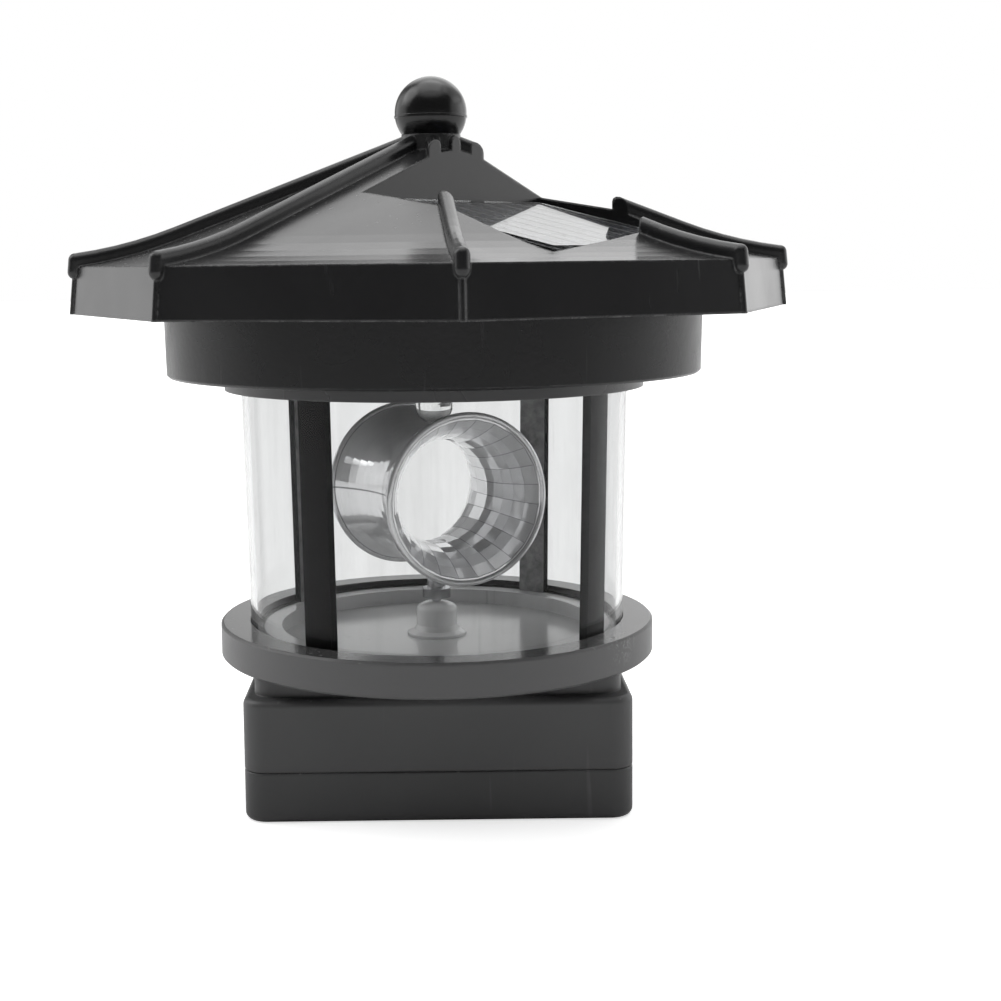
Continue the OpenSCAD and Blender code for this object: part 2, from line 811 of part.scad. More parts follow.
// Domed boss with a flared foot, bored for the shaft
module shaft_bush() {
  bore = shaft_radius + shaft_clearance;
  dome = bush_radius - bore;
  dome_level = floor_top + bush_height - dome / 2;
  color(black)
  rotate_extrude()
    polygon(concat(
      [[bore, neck_top + fit], [bush_spigot, neck_top + fit], [bush_spigot, floor_top]],
      [[bush_foot, floor_top], [bush_foot, floor_top + bush_foot_height / 2]],
      [[bush_radius + bush_foot_height / 2, floor_top + bush_foot_height]],
      [[bush_radius, floor_top + 2 * bush_foot_height]],
      [for (lean = [0 : 15 : 90]) [bore + dome * cos(lean), dome_level + dome / 2 * sin(lean)]]
    ));
}

module drive_shaft() {
  color(steel)
  translate([0, 0, shaft_base]) cylinder(r = shaft_radius, h = shaft_end - shaft_base);
}

function bow_at(run) = throat_radius + bow_radius - sqrt(bow_radius * bow_radius - run * run);

// Runs along the reflector at which its flat facets meet
facet_runs = concat(
  [for (row = [facet_rows : -1 : 0]) -(smooth_band + row * row_length)],
  [for (row = [0 : facet_rows]) smooth_band + row * row_length]
);

// Faceted space inside the reflector, a stack of rings joined by flat faces
module throat_space() {
  reach = overrun + mouth_bead;
  runs = concat([-half_length - reach], facet_runs, [half_length + reach]);
  points = [
    for (run = runs)
      let (bounded = max(-half_length, min(half_length, run)), inside = bow_at(bounded) - reflector_wall)
        for (k = [0 : facet_count - 1])
          let (turn = 360 * (k + 0.5) / facet_count)
            [inside * cos(turn), inside * sin(turn), run]
  ];
  last = (len(runs) - 1) * facet_count;
  polyhedron(points, concat(
    [[for (k = [0 : facet_count - 1]) k]],
    [for (i = [0 : len(runs) - 2], k = [0 : facet_count - 1])
      let (next = (k + 1) % facet_count)
        [for (spot = [[0, k], [1, k], [1, next], [0, next]]) (i + spot[0]) * facet_count + spot[1]]],
    [[for (k = [facet_count - 1 : -1 : 0]) last + k]]
  ));
}

// Hourglass reflector with a beaded mouth at each end, a light hole above and a stem hole below
module reflector() {
  outline_steps = 8;
  hole_turn = 17;
  color("silver")
  rotate([0, 0, reflector_turn])
    difference() {
      translate([0, 0, reflector_level])
        rotate([90, 0, 0]) {
          rotate_extrude($fn = 72)
            polygon(concat(
              [for (i = [-outline_steps : outline_steps])
                let (run = half_length * i / outline_steps) [bow_at(run), run]],
              [[0, half_length], [0, -half_length]]
            ));
          for (side = [-1, 1])
            translate([0, 0, side * (half_length - mouth_bead / 2)])
              rotate_extrude($fn = 72)
                translate([mouth_radius - mouth_bead / 2, 0]) circle(mouth_bead, $fn = 16);
        }
      translate([0, 0, reflector_level]) {
        rotate([90, 0, 0]) throat_space();
        rotate([0, 0, hole_turn]) {
          translate([0, 0, throat_radius / 2]) cylinder(r = light_hole, h = throat_radius);
          translate([0, 0, -1.5 * throat_radius]) cylinder(r = stem_radius + fit / 2, h = throat_radius);
        }
      }
    }
}

// Hollow stem that turns with the reflector: its foot takes the shaft and its collar carries the neck
module reflector_stem() {
  collar_level = reflector_level - throat_radius;
  color("silver")
  difference() {
    union() {
      translate([0, 0, stem_base])
        cylinder(r = stem_radius, h = collar_level + reflector_wall - stem_base);
      translate([0, 0, stem_base]) cylinder(r = cup_radius, h = cup_height);
      translate([0, 0, collar_level - fit - cup_height]) cylinder(r = cup_radius, h = cup_height);
    }
    translate([0, 0, stem_base - overrun])
      cylinder(r = shaft_radius + fit / 4, h = shaft_end - stem_base + fit / 4 + overrun);
  }
}

module lantern_glass() {
  low = glass_radius_low;
  high = glass_radius_high;
  color(clear, 0.35)
  rotate_extrude($fn = 96)
    polygon([
      [low - glass_wall, glass_base],
      [low, glass_base],
      [high, glass_end],
      [high - glass_wall, glass_end]
    ]);
}

// Post that leans with the glass, with a tenon at each end
module post(bearing) {
  lean = post_radius_high - post_radius_low;
  tenon_depth = post_depth * tenon_share;
  tenon_width = post_width * tenon_share;
  color(black) {
    at_bearing(bearing, 0, 0)
      rotate([90, 0, 0])
        linear_extrude(post_width, center = true)
          polygon([
            [post_radius_low - post_depth, ledge_level],
            [post_radius_low, ledge_level],
            [post_radius_low + lean, cap_level],
            [post_radius_low + lean - post_depth, cap_level]
          ]);
    at_bearing(bearing, post_radius_low - post_depth / 2, ledge_level - tenon_length)
      linear_extrude(2 * tenon_length) square([tenon_depth, tenon_width], center = true);
    at_bearing(bearing, post_radius_high - post_depth / 2, cap_level - tenon_length)
      linear_extrude(2 * tenon_length) square([tenon_depth, tenon_width], center = true);
  }
}

module post_front_left() post(post_angles[0]);
module post_front_right() post(post_angles[1]);
module post_back_right() post(post_angles[2]);
module post_back_left() post(post_angles[3]);

module lantern_cap() {
  color(black)
  difference() {
    translate([0, 0, cap_level]) cylinder(r = cap_radius, h = cap_thickness, $fn = 96);
    translate([0, 0, cap_level - overrun])
      difference() {
        cylinder(r = glass_radius_high + fit, h = glass_rebate + overrun, $fn = 96);
        translate([0, 0, -overrun])
          cylinder(r = glass_radius_high - glass_wall - fit, h = glass_rebate + 3 * overrun, $fn = 96);
      }
    post_socket(cap_level - overrun, tenon_length + fit + overrun, post_radius_high);
    translate([0, 0, cap_level - overrun])
      cylinder(r = holder_radius + fit, h = cap_thickness + 2 * overrun);
    for (bearing = cap_screw_bearings)
      at_bearing(bearing, cap_screw_ring, cap_level + fit)
        cylinder(r = small_shank + fit / 2, h = cap_thickness + overrun);
    lead_slot(cap_level, cap_thickness);
  }
}

module led() {
  tip = cap_level - led_reach;
  color(clear, 0.6) {
    translate([0, 0, tip + led_radius]) sphere(r = led_radius);
    translate([0, 0, tip + led_radius]) cylinder(r = led_radius, h = holder_top - tip - led_radius);
    translate([0, 0, holder_top]) cylinder(r = led_flange, h = led_flange_height);
  }
  color(steel)
    for (side = [-1, 1])
      translate([side * led_pin_spread, 0, holder_top + led_flange_height])
        cylinder(r = led_pin, h = led_pin_length);
}

module led_holder() {
  color(black)
  difference() {
    union() {
      translate([0, 0, cap_level - holder_flange_height])
        cylinder(r = holder_flange, h = holder_flange_height);
      translate([0, 0, cap_level]) cylinder(r = holder_radius, h = holder_top - cap_level);
    }
    translate([0, 0, cap_level - holder_flange_height - overrun])
      cylinder(r = led_radius + fit, h = holder_top - cap_level + holder_flange_height + 2 * overrun);
  }
}

module cap_screws() {
  color(steel)
  for (bearing = cap_screw_bearings)
    at_bearing(bearing, cap_screw_ring, drum_level + drum_wall)
      rotate([180, 0, 0])
        screw_up(small_shank, small_head, small_head_height, drum_wall + cap_thickness - 3 * fit);
}

// Drum with its floor, and the eight-sided soffit that closes the roof from below
module eave_drum() {
  color(black)
  difference() {
    union() {
      rotate_extrude($fn = 96)
        polygon([
          [0, drum_level],
          [drum_radius_low - gallery_edge, drum_level],
          [drum_radius_low, drum_level + gallery_edge],
          [drum_radius_high, soffit_level],
          [drum_radius_high, soffit_top],
          [drum_radius_high - drum_wall, soffit_top],
          [drum_radius_low - drum_wall, drum_level + drum_wall],
          [0, drum_level + drum_wall]
        ]);
      difference() {
        translate([0, 0, soffit_level])
          rotate([0, 0, roof_turn]) cylinder(r = soffit_radius, h = soffit_thickness, $fn = 8);
        translate([0, 0, soffit_level - overrun])
          cylinder(r = drum_radius_high - drum_wall / 2, h = soffit_thickness + 2 * overrun, $fn = 96);
      }
    }
    translate([0, 0, drum_level - overrun])
      cylinder(r = holder_radius + fit, h = drum_wall + 2 * overrun);
    for (bearing = cap_screw_bearings)
      at_bearing(bearing, cap_screw_ring, drum_level - overrun)
        cylinder(r = small_shank + screw_clearance, h = drum_wall + 2 * overrun);
    for (side = soffit_screw_sides)
      at_bearing(roof_turn + 22.5 + 45 * side, soffit_screw_ring, soffit_level - overrun)
        cylinder(r = screw_shank + screw_clearance, h = soffit_thickness + 2 * overrun);
    lead_slot(drum_level, drum_wall);
  }
}

module soffit_screws() {
  color(steel)
  for (side = soffit_screw_sides)
    at_bearing(roof_turn + 22.5 + 45 * side, soffit_screw_ring, soffit_level)
      screw_up(screw_shank, screw_head, screw_head_height, soffit_thickness + soffit_screw_bite - fit);
}

// Roof

// Everything under the roof surface, down to the lower edge of the fascia
module roof_solid() {
  rotate([0, 0, roof_turn])
    rotate_extrude($fn = 8)
      polygon(concat(roof_line, [[eave_radius, eave_level], [0, eave_level]]));
}

module roof_hollow() {
  drop = roof_wall / cos(bend_start);
  rotate([0, 0, roof_turn])
    rotate_extrude($fn = 8)
      polygon(concat(
        [[0, hip_level(0) - drop - roof_wall]],
        [for (point = roof_line) if (point[0] > hub_radius && point[0] < top_radius - fascia_inner)
          point - [0, drop]],
        [[top_radius - fascia_inner, fascia_top - roof_wall],
         [eave_radius - fascia_inner, eave_level],
         [eave_radius - fascia_inner, eave_level - overrun],
         [0, eave_level - overrun]]
      ));
}

// Half-round rib along one hip, ending in a rounded nose and a bead down the corner
module hip_rib() {
  foot = hub_radius - hub_bite;
  line = concat([[foot, hip_level(foot)]], bend_points);
  rings = len(line);
  half = rib_width / 2;
  section = concat(
    [[half, -rib_sink]],
    [for (k = [0 : rib_sides])
      [half * cos(180 * k / rib_sides), rib_height - half + half * sin(180 * k / rib_sides)]],
    [[-half, -rib_sink]]
  );
  count = len(section);
  points = [for (spot = line, corner = section) [spot[0], corner[0], spot[1] + corner[1]]];
  polyhedron(points, concat(
    [[for (k = [0 : count - 1]) k]],
    [for (i = [0 : rings - 2], k = [0 : count - 1])
      let (next = (k + 1) % count)
        [i * count + k, (i + 1) * count + k, (i + 1) * count + next, i * count + next]],
    [[for (k = [count - 1 : -1 : 0]) (rings - 1) * count + k]]
  ));
}

// Leaning run down the corner of the fascia
module down_corner(level) {
  translate([top_radius, 0, level])
    rotate([0, 180 - atan(fascia_flare / fascia_height), 0]) children();
}

module corner_nose() {
  half = rib_width / 2;
  nose_level = fascia_top + rib_height - half;
  translate([top_radius, 0, nose_level]) sphere(r = half);
  down_corner(nose_level) cylinder(r = half, h = nose_height);
  down_corner(nose_level) translate([0, 0, nose_height]) sphere(r = half);
  intersection() {
    down_corner(fascia_top) cylinder(r = corner_bead, h = 2 * fascia_height);
    translate([0, 0, eave_level]) cylinder(r = 2 * eave_radius, h = 2 * fascia_height);
  }
}

// Children stand at the foot of the tall wall, with +X down the panel
module along_pocket() {
  rotate([0, 0, roof_turn - 45]) children();
}

// Upright slab across the pocket, whose outline is given as run and level
module pocket_slab(outline, half_width) {
  along_pocket()
    rotate([90, 0, 0]) linear_extrude(2 * half_width, center = true) polygon(outline);
}

module pocket_space() {
  over = hub_face + overrun;
  pocket_slab([
    [pocket_near, seat_at(pocket_near)],
    [pocket_far, seat_at(pocket_far)],
    [pocket_far, over],
    [pocket_near, over]
  ], pocket_half);
}

module pocket_tray() {
  near = pocket_near - tray_wall;
  far = pocket_far + tray_wall;
  drop = tray_wall / cos(panel_tilt);
  intersection() {
    roof_solid();
    pocket_slab([
      [near, seat_at(near) - drop],
      [far, seat_at(far) - drop],
      [far, hub_top],
      [near, hub_top]
    ], pocket_half + tray_wall);
  }
}

module roof_shell() {
  color(black)
  difference() {
    union() {
      difference() {
        roof_solid();
        roof_hollow();
      }
      for (side = [0 : 7])
        at_bearing(roof_turn + 45 * side, 0, 0) {
          hip_rib();
          corner_nose();
        }
      translate([0, 0, hub_face - hub_sink - roof_wall]) cylinder(r = hub_radius, h = hub_sink + roof_wall);
      pocket_tray();
      intersection() {
        roof_solid();
        for (side = soffit_screw_sides)
          at_bearing(roof_turn + 22.5 + 45 * side, soffit_screw_ring, soffit_top)
            cylinder(r = boss_radius, h = fascia_height);
      }
    }
    pocket_space();
    translate([0, 0, hub_face - hub_sink]) cylinder(r = peg + fit / 2, h = hub_sink + overrun);
    for (side = soffit_screw_sides)
      at_bearing(roof_turn + 22.5 + 45 * side, soffit_screw_ring, soffit_top - overrun)
        cylinder(r = screw_shank + fit / 2, h = soffit_screw_bite + overrun);
    along_pocket()
      translate([wire_hole_run, 0, seat_at(wire_hole_run) - 2 * tray_wall - overrun])
        cylinder(r = wire_hole, h = 4 * tray_wall);
  }
}

// Children lie on the floor of the pocket, with x down the panel from its upper edge
module on_panel(lift) {
  along_pocket()
    translate([pocket_near, 0, seat_level])
      rotate([0, panel_tilt, 0]) translate([panel_start, 0, lift]) children();
}

module panel_board() {
  color("#15151c")
  on_panel(0) translate([0, -panel_width / 2, 0]) cube([panel_length, panel_width, board_sheet]);
}

module panel_cells() {
  color("#20242e")
  on_panel(board_sheet)
    for (strip = [0 : cell_strips - 1])
      translate([cell_border, cell_border - panel_width / 2 + strip * (strip_width + cell_gap), 0])
        cube([panel_length - 2 * cell_border, strip_width, cell_sheet]);
}

module panel_cover() {
  color(clear, 0.4)
  on_panel(board_sheet + cell_sheet)
    translate([0, -panel_width / 2, 0]) cube([panel_length, panel_width, cover_sheet]);
}

module finial_ball() {
  middle = hub_top + ball_lift;
  color(black) {
    intersection() {
      translate([0, 0, middle]) sphere(r = ball_radius);
      translate([0, 0, hub_face]) cylinder(r = 2 * ball_radius, h = 2 * ball_radius);
    }
    translate([0, 0, middle - mould_line_drop - mould_line_height])
      cylinder(r = ball_radius + mould_line, h = mould_line_height);
    translate([0, 0, hub_face - peg_length]) cylinder(r = peg, h = peg_length + overrun);
  }
}

// Wires

function spot_at(bearing, run, level) = [run * sin(bearing), -run * cos(bearing), level];
function slot_spot(index, level) =
  let (across = lead_shift + lead_pitch * (index - 1))
    spot_at(lead_bearing, lead_ring, level) + across * [cos(lead_bearing), sin(lead_bearing), 0];

// From the circuit board up past the back left post to the given level in the drum
function riser(index, level) =
  let (start = [bundle_x + bundle_pitch * (2 - index), pcb_back - lead_edge, pcb_top],
       run = box_lead_level + bundle_pitch * index,
       over = slot_spot(index, run))
    [start, [start[0], start[1], box_lead_start], [over[0], 0, run], over, slot_spot(index, level)];

// Place in the wire hole under the panel, given along and across the slope
function hole_spot(along, across, level) =
  let (bearing = roof_turn + 45)
    spot_at(bearing, wire_hole_run + along, level) + across * [cos(bearing), sin(bearing), 0];
function hole_end(along) = seat_at(wire_hole_run + along) - lead_radius * tan(panel_tilt) - fit;

module panel_leads() {
  back = -lead_radius;
  color("#2a2a2c")
  for (index = [0, 1]) {
    across = (0.5 - index) * bundle_pitch;
    lead(concat(riser(index, drum_lead_level), [
      hole_spot(back, across, drum_lead_level),
      hole_spot(back, across, hole_end(back))
    ]));
  }
}

module lamp_leads() {
  ahead = 2 * lead_radius;
  color("#2a2a2c") {
    lead(concat(riser(2, lamp_lead_level), [
      [-led_pin_spread - lead_gap, lead_gap, lamp_lead_level],
      [-led_pin_spread, 0, lamp_lead_level],
      [-led_pin_spread, 0, led_pin_top]
    ]));
    lead([
      [led_pin_spread, 0, led_pin_top],
      [led_pin_spread, 0, lamp_lead_level],
      hole_spot(ahead, 0, lamp_lead_level),
      hole_spot(ahead, 0, hole_end(ahead))
    ]);
  }
}

module battery_leads() {
  minus_tag = minus_end - spring_room - plate_sheet - lead_radius;
  plus_tag = plus_end + cell_nub + plate_sheet + lead_radius;
  tag_y = cell_y - plate_width / 2 + tag_drop;
  color("#2a2a2c") {
    lead([
      [minus_tag, tag_y, tag_level],
      [minus_tag - lead_radius, tag_y - lead_gap, tag_level],
      [minus_tag - lead_radius, pcb_back, tag_level],
      [bundle_x, pcb_back - lead_edge - lead_gap, pcb_top + lead_gap],
      [bundle_x, pcb_back - lead_edge - lead_gap, pcb_top]
    ]);
    lead([
      [plus_tag, tag_y, tag_level],
      [plus_tag + lead_radius, tag_y - lead_gap, tag_level],
      [plus_tag + lead_radius, -lead_gap, tag_level],
      [pcb_right - lead_edge, pcb_back - lead_edge, pcb_top + lead_gap],
      [pcb_right - lead_edge, pcb_back - lead_edge, pcb_top]
    ]);
  }
}

module motor_leads() {
  tab_level = motor_base - motor_tab / 2;
  tab_face = motor_tab_spread + motor_tab_sheet / 2;
  color("#2a2a2c") {
    lead([
      [0, -tab_face - fit, tab_level],
      [0, -tab_face - lead_gap, tab_level],
      [pcb_right - lead_edge - 2 * bundle_pitch, pcb_back - lead_edge, pcb_top + lead_gap / 2],
      [pcb_right - lead_edge - 2 * bundle_pitch, pcb_back - lead_edge, pcb_top]
    ]);
    lead([
      [-motor_tab_width / 2 - fit, motor_tab_spread, motor_base - motor_tab + lead_radius],
      [-motor_tab_width / 2 - lead_gap, motor_tab_spread, motor_base - motor_tab],
      [bundle_x + 3 * bundle_pitch, 0, tab_level],
      [bundle_x + 3 * bundle_pitch, pcb_back - lead_edge, pcb_top + lead_gap],
      [bundle_x + 3 * bundle_pitch, pcb_back - lead_edge, pcb_top]
    ]);
  }
}

module switch_leads() {
  top = box_floor + switch_height;
  color("#2a2a2c")
  for (side = [-1, 1]) {
    x = switch_x + side * lead_gap;
    land_y = pcb_y - lead_gap - side * lead_dip;
    lead([
      [x, switch_y, top],
      [x, switch_y, top + lead_gap + side * lead_radius],
      [x - 2 * lead_gap, land_y, pcb_top + lead_gap + lead_radius],
      [pcb_right - lead_edge, land_y, pcb_top + lead_gap],
      [pcb_right - lead_edge, land_y, pcb_top]
    ]);
  }
}

box_cover();
box_shell();
box_screws();
battery_cell();
contact_plates();
contact_spring();
circuit_board();
board_parts();
switch_body();
switch_slider();
motor_can();
motor_strap();
strap_screws();
gallery_screws();
gallery_ring();
shaft_bush();
drive_shaft();
reflector();
reflector_stem();
lantern_glass();
post_front_left();
post_front_right();
post_back_left();
post_back_right();
lantern_cap();
led();
led_holder();
cap_screws();
eave_drum();
soffit_screws();
roof_shell();
panel_board();
panel_cells();
panel_cover();
finial_ball();
panel_leads();
lamp_leads();
battery_leads();
motor_leads();
switch_leads();
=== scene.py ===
import math

import bpy
from mathutils import Matrix, Vector


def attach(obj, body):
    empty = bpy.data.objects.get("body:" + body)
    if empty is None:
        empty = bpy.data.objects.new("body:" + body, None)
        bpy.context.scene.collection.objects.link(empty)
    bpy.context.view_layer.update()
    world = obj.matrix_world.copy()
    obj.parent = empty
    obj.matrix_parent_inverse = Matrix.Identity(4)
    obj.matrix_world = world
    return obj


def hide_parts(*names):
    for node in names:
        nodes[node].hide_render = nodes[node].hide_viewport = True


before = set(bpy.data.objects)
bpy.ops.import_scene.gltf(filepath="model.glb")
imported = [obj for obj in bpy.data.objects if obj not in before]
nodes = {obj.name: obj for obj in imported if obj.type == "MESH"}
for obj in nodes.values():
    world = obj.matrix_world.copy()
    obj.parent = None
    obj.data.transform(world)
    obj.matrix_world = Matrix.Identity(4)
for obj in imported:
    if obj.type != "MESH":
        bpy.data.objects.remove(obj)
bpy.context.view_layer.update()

MM = 0.001

# Places and sizes of the CAD model that materials and pieces are set by, in millimetres and degrees

REFLECTOR_LEVEL = 39.5
GALLERY_TOP = 22.6
PANEL_BEARING = 48.8
PANEL_FOOT = (4.35, 76.0873)
PANEL_TILT = 12.7
PANEL_START = 0.658169
BOARD_SHEET = 1.2
CELL_SHEET = 0.3
CELL_BORDER = 1.0
CELL_LENGTH = 26.1836
STRIP_WIDTH = 7.65
STRIP_GAP = 0.4
STRIPS = 4
FINGER_HEIGHT = 0.04
LANTERN_INSIDE = 23.6

# Index of the clear lantern and panel cover: low, so that the reflected floor hardly veils what is behind
THIN_CLEAR = 1.16
COVER_CLEAR = 1.2


# Small helpers for node trees

def link(tree, out, inp):
    tree.links.new(out, inp)


def add(tree, kind, **values):
    node = tree.nodes.new(kind)
    for key, value in values.items():
        setattr(node, key, value)
    return node


def feed(tree, socket, value):
    """Link a socket, or set it to a plain number or vector."""
    if isinstance(value, bpy.types.NodeSocket):
        link(tree, value, socket)
    elif value is not None:
        socket.default_value = value


def math_node(tree, operation, a, b=None, clamp=False):
    node = add(tree, "ShaderNodeMath", operation=operation, use_clamp=clamp)
    feed(tree, node.inputs[0], a)
    feed(tree, node.inputs[1], b)
    return node.outputs[0]


def vector_node(tree, operation, a, b=None, out="Value"):
    node = add(tree, "ShaderNodeVectorMath", operation=operation)
    feed(tree, node.inputs[0], a)
    feed(tree, node.inputs[1], b)
    return node.outputs[out]


def remap(tree, value, low, high, to_low=0.0, to_high=1.0, smooth=False):
    node = add(tree, "ShaderNodeMapRange")
    if smooth:
        node.interpolation_type = "SMOOTHSTEP"
    link(tree, value, node.inputs["Value"])
    for name, number in (("From Min", low), ("From Max", high), ("To Min", to_low), ("To Max", to_high)):
        node.inputs[name].default_value = number
    return node.outputs["Result"]


def parts(tree, vector):
    """X, Y and Z of a vector."""
    node = add(tree, "ShaderNodeSeparateXYZ")
    link(tree, vector, node.inputs["Vector"])
    return node.outputs


def flat(tree, vector):
    """The vector without its Z."""
    return vector_node(tree, "MULTIPLY", vector, (1, 1, 0), "Vector")


def shade(colour, share=1.0, step=0.0):
    """A colour times a share, plus a step."""
    return tuple(min(1, c * share + step) for c in colour)


def colour4(value):
    return value if len(value) == 4 else tuple(value) + (1,)


def mix_colour(tree, factor, a, b):
    node = add(tree, "ShaderNodeMix", data_type="RGBA")
    feed(tree, node.inputs[0], factor)
    for socket, value in ((node.inputs[6], a), (node.inputs[7], b)):
        feed(tree, socket, colour4(value) if isinstance(value, tuple) else value)
    return node.outputs[2]


def noise(tree, vector, scale, detail=4.0, rough=0.55, distortion=0.0):
    node = add(tree, "ShaderNodeTexNoise")
    node.inputs["Detail"].default_value = detail
    node.inputs["Roughness"].default_value = rough
    node.inputs["Distortion"].default_value = distortion
    feed(tree, node.inputs["Scale"], scale)
    link(tree, vector, node.inputs["Vector"])
    return node.outputs["Fac"]


def mapped(tree, vector, scale=(1, 1, 1), turn=(0, 0, 0), shift=(0, 0, 0)):
    node = add(tree, "ShaderNodeMapping")
    node.inputs["Scale"].default_value = scale
    node.inputs["Rotation"].default_value = turn
    node.inputs["Location"].default_value = shift
    link(tree, vector, node.inputs["Vector"])
    return node.outputs["Vector"]


def object_coords(tree):
    return add(tree, "ShaderNodeTexCoord").outputs["Object"]


def surface_normal(tree):
    return add(tree, "ShaderNodeNewGeometry").outputs["Normal"]


def rounded_normal(tree, edge):
    """Normal with the edges softened by a radius, in millimetres."""
    node = add(tree, "ShaderNodeBevel", samples=6)
    node.inputs["Radius"].default_value = edge * MM
    return node.outputs["Normal"]


def new_group(name, inputs, outputs):
    """Shader group; an input is a name with default, low and high, or a bare name for a vector."""
    group = bpy.data.node_groups.new(name, "ShaderNodeTree")
    for given in inputs:
        if isinstance(given, str):
            group.interface.new_socket(name=given, in_out="INPUT", socket_type="NodeSocketVector")
            continue
        label, default, low, high = given
        socket = group.interface.new_socket(name=label, in_out="INPUT", socket_type="NodeSocketFloat")
        socket.default_value, socket.min_value, socket.max_value = default, low, high
    for label in outputs:
        group.interface.new_socket(name=label, in_out="OUTPUT", socket_type="NodeSocketFloat")
    return group, add(group, "NodeGroupInput"), add(group, "NodeGroupOutput")


# Shader groups shared by the materials

def make_grain_group():
    """Fine texture of a moulded surface: height for a bump, and slow drift of the gloss."""
    group, given, result = new_group(
        "moulded_grain", [("Grain Scale", 2600, 100, 9000), ("Drift Scale", 60, 5, 400)], ["Height", "Drift"])
    coords = object_coords(group)
    link(group, noise(group, coords, given.outputs["Grain Scale"], 3), result.inputs["Height"])
    link(group, noise(group, coords, given.outputs["Drift Scale"], 5, distortion=0.6), result.inputs["Drift"])
    return group


def make_scratch_group():
    """Sparse hair scratches in three directions, as a mask."""
    group, given, result = new_group(
        "hair_scratches", [("Scale", 90, 10, 600), ("Amount", 0.5, 0, 1)], ["Mask"])
    coords = object_coords(group)
    scaled = math_node(group, "MULTIPLY", given.outputs["Scale"], 6.0)
    lines = None
    for turn, seed in ((0.5, 0.0), (-1.1, 3.7), (1.9, 8.1)):
        stretched = mapped(group, coords, (1, 1, 0.05), (turn, seed, turn * 0.7), (seed, seed * 0.3, 0))
        mask = remap(group, noise(group, stretched, scaled, 2), 0.70, 0.75)
        lines = mask if lines is None else math_node(group, "MAXIMUM", lines, mask)
    patch = remap(group, noise(group, coords, 70, 2), 0.48, 0.62)
    shown = math_node(group, "MULTIPLY", lines, patch)
    link(group, math_node(group, "MULTIPLY", shown, given.outputs["Amount"]), result.inputs["Mask"])
    return group


def make_dust_group():
    """Dust that settles on what faces up, as a mask."""
    group, given, result = new_group("settled_dust", [("Amount", 0.3, 0, 1)], ["Mask"])
    coords = object_coords(group)
    upward = remap(group, parts(group, surface_normal(group))["Z"], 0.2, 0.95)
    film = remap(group, noise(group, coords, 120, 6, 0.7), 0.4, 0.8)
    specks = remap(group, noise(group, coords, 1500, 1), 0.68, 0.73)
    both = math_node(group, "ADD", math_node(group, "MULTIPLY", film, 0.2), specks, clamp=True)
    settled = math_node(group, "MULTIPLY", both, upward)
    link(group, math_node(group, "MULTIPLY", settled, given.outputs["Amount"]), result.inputs["Mask"])
    return group


def make_wear_group():
    """Lighter, duller plastic where an edge has been rubbed, as a mask."""
    group, given, result = new_group("edge_wear", ["Rounded", ("Amount", 0.5, 0, 1)], ["Mask"])
    coords = object_coords(group)
    same = vector_node(group, "DOT_PRODUCT", surface_normal(group), given.outputs["Rounded"])
    edge = remap(group, same, 0.99, 0.86)
    broken = remap(group, noise(group, coords, 420, 5, 0.65), 0.45, 0.62)
    shown = math_node(group, "MULTIPLY", edge, broken)
    link(group, math_node(group, "MULTIPLY", shown, given.outputs["Amount"]), result.inputs["Mask"])
    return group


def make_streak_group():
    """Soft upright streaks and smears in clear plastic, as a mask."""
    group, given, result = new_group("clear_streaks", [("Amount", 0.5, 0, 1)], ["Mask"])
    coords = object_coords(group)
    upright = noise(group, mapped(group, coords, (1, 1, 0.05)), 260, 4, 0.6)
    smear = noise(group, mapped(group, coords, (1, 1, 0.4)), 70, 5, 0.7)
    both = math_node(group, "ADD", remap(group, upright, 0.5, 0.75), remap(group, smear, 0.5, 0.8),
                     clamp=True)
    link(group, math_node(group, "MULTIPLY", both, given.outputs["Amount"]), result.inputs["Mask"])
    return group


GRAIN = make_grain_group()
SCRATCH = make_scratch_group()
DUST = make_dust_group()
WEAR = make_wear_group()
STREAK = make_streak_group()


def use_group(tree, group, **values):
    node = add(tree, "ShaderNodeGroup", node_tree=group)
    for label, value in values.items():
        feed(tree, node.inputs[label.replace("_", " ")], value)
    return node


def blank_material(name):
    material = bpy.data.materials.new(name)
    material.use_nodes = True
    tree = material.node_tree
    return material, tree, tree.nodes["Principled BSDF"]


def bump(tree, shader, height, strength, distance=0.0002, base=None):
    node = add(tree, "ShaderNodeBump")
    node.inputs["Strength"].default_value = strength
    node.inputs["Distance"].default_value = distance
    link(tree, height, node.inputs["Height"])
    feed(tree, node.inputs["Normal"], base)
    link(tree, node.outputs["Normal"], shader.inputs["Normal"])
    return node


def near(tree, coords, place, reach):
    """Mask that is one at a place, in millimetres, and fades out at a distance from it."""
    away = vector_node(tree, "DISTANCE", coords, tuple(v * MM for v in place))
    return remap(tree, away, reach * MM, reach * MM * 0.3)


def painted_light_inside_mask(tree, coords, radius):
    """One nearer to the upright axis than a radius, in millimetres: where light is painted on the dark floor
    within the lantern.
    """
    reach = vector_node(tree, "LENGTH", flat(tree, coords))
    return remap(tree, reach, radius * MM, (radius - 0.3) * MM)


def painted_light_inward_mask(tree, coords):
    """Painted light, uneven, on the faces that look at the upright axis."""
    outward = vector_node(tree, "NORMALIZE", flat(tree, coords), out="Vector")
    facing = vector_node(tree, "DOT_PRODUCT", outward, surface_normal(tree))
    uneven = remap(tree, noise(tree, coords, 500, 6, 0.7), 0.3, 0.7, 0.4, 1.0)
    return math_node(tree, "MULTIPLY", remap(tree, facing, -0.5, -0.9), uneven)


def rubbed_mask(tree, coords, place, reach):
    """Broken scuff round a place, in millimetres."""
    broken = remap(tree, noise(tree, coords, 900, 6, 0.7, 1.5), 0.52, 0.6)
    return math_node(tree, "MULTIPLY", broken, near(tree, coords, place, reach))


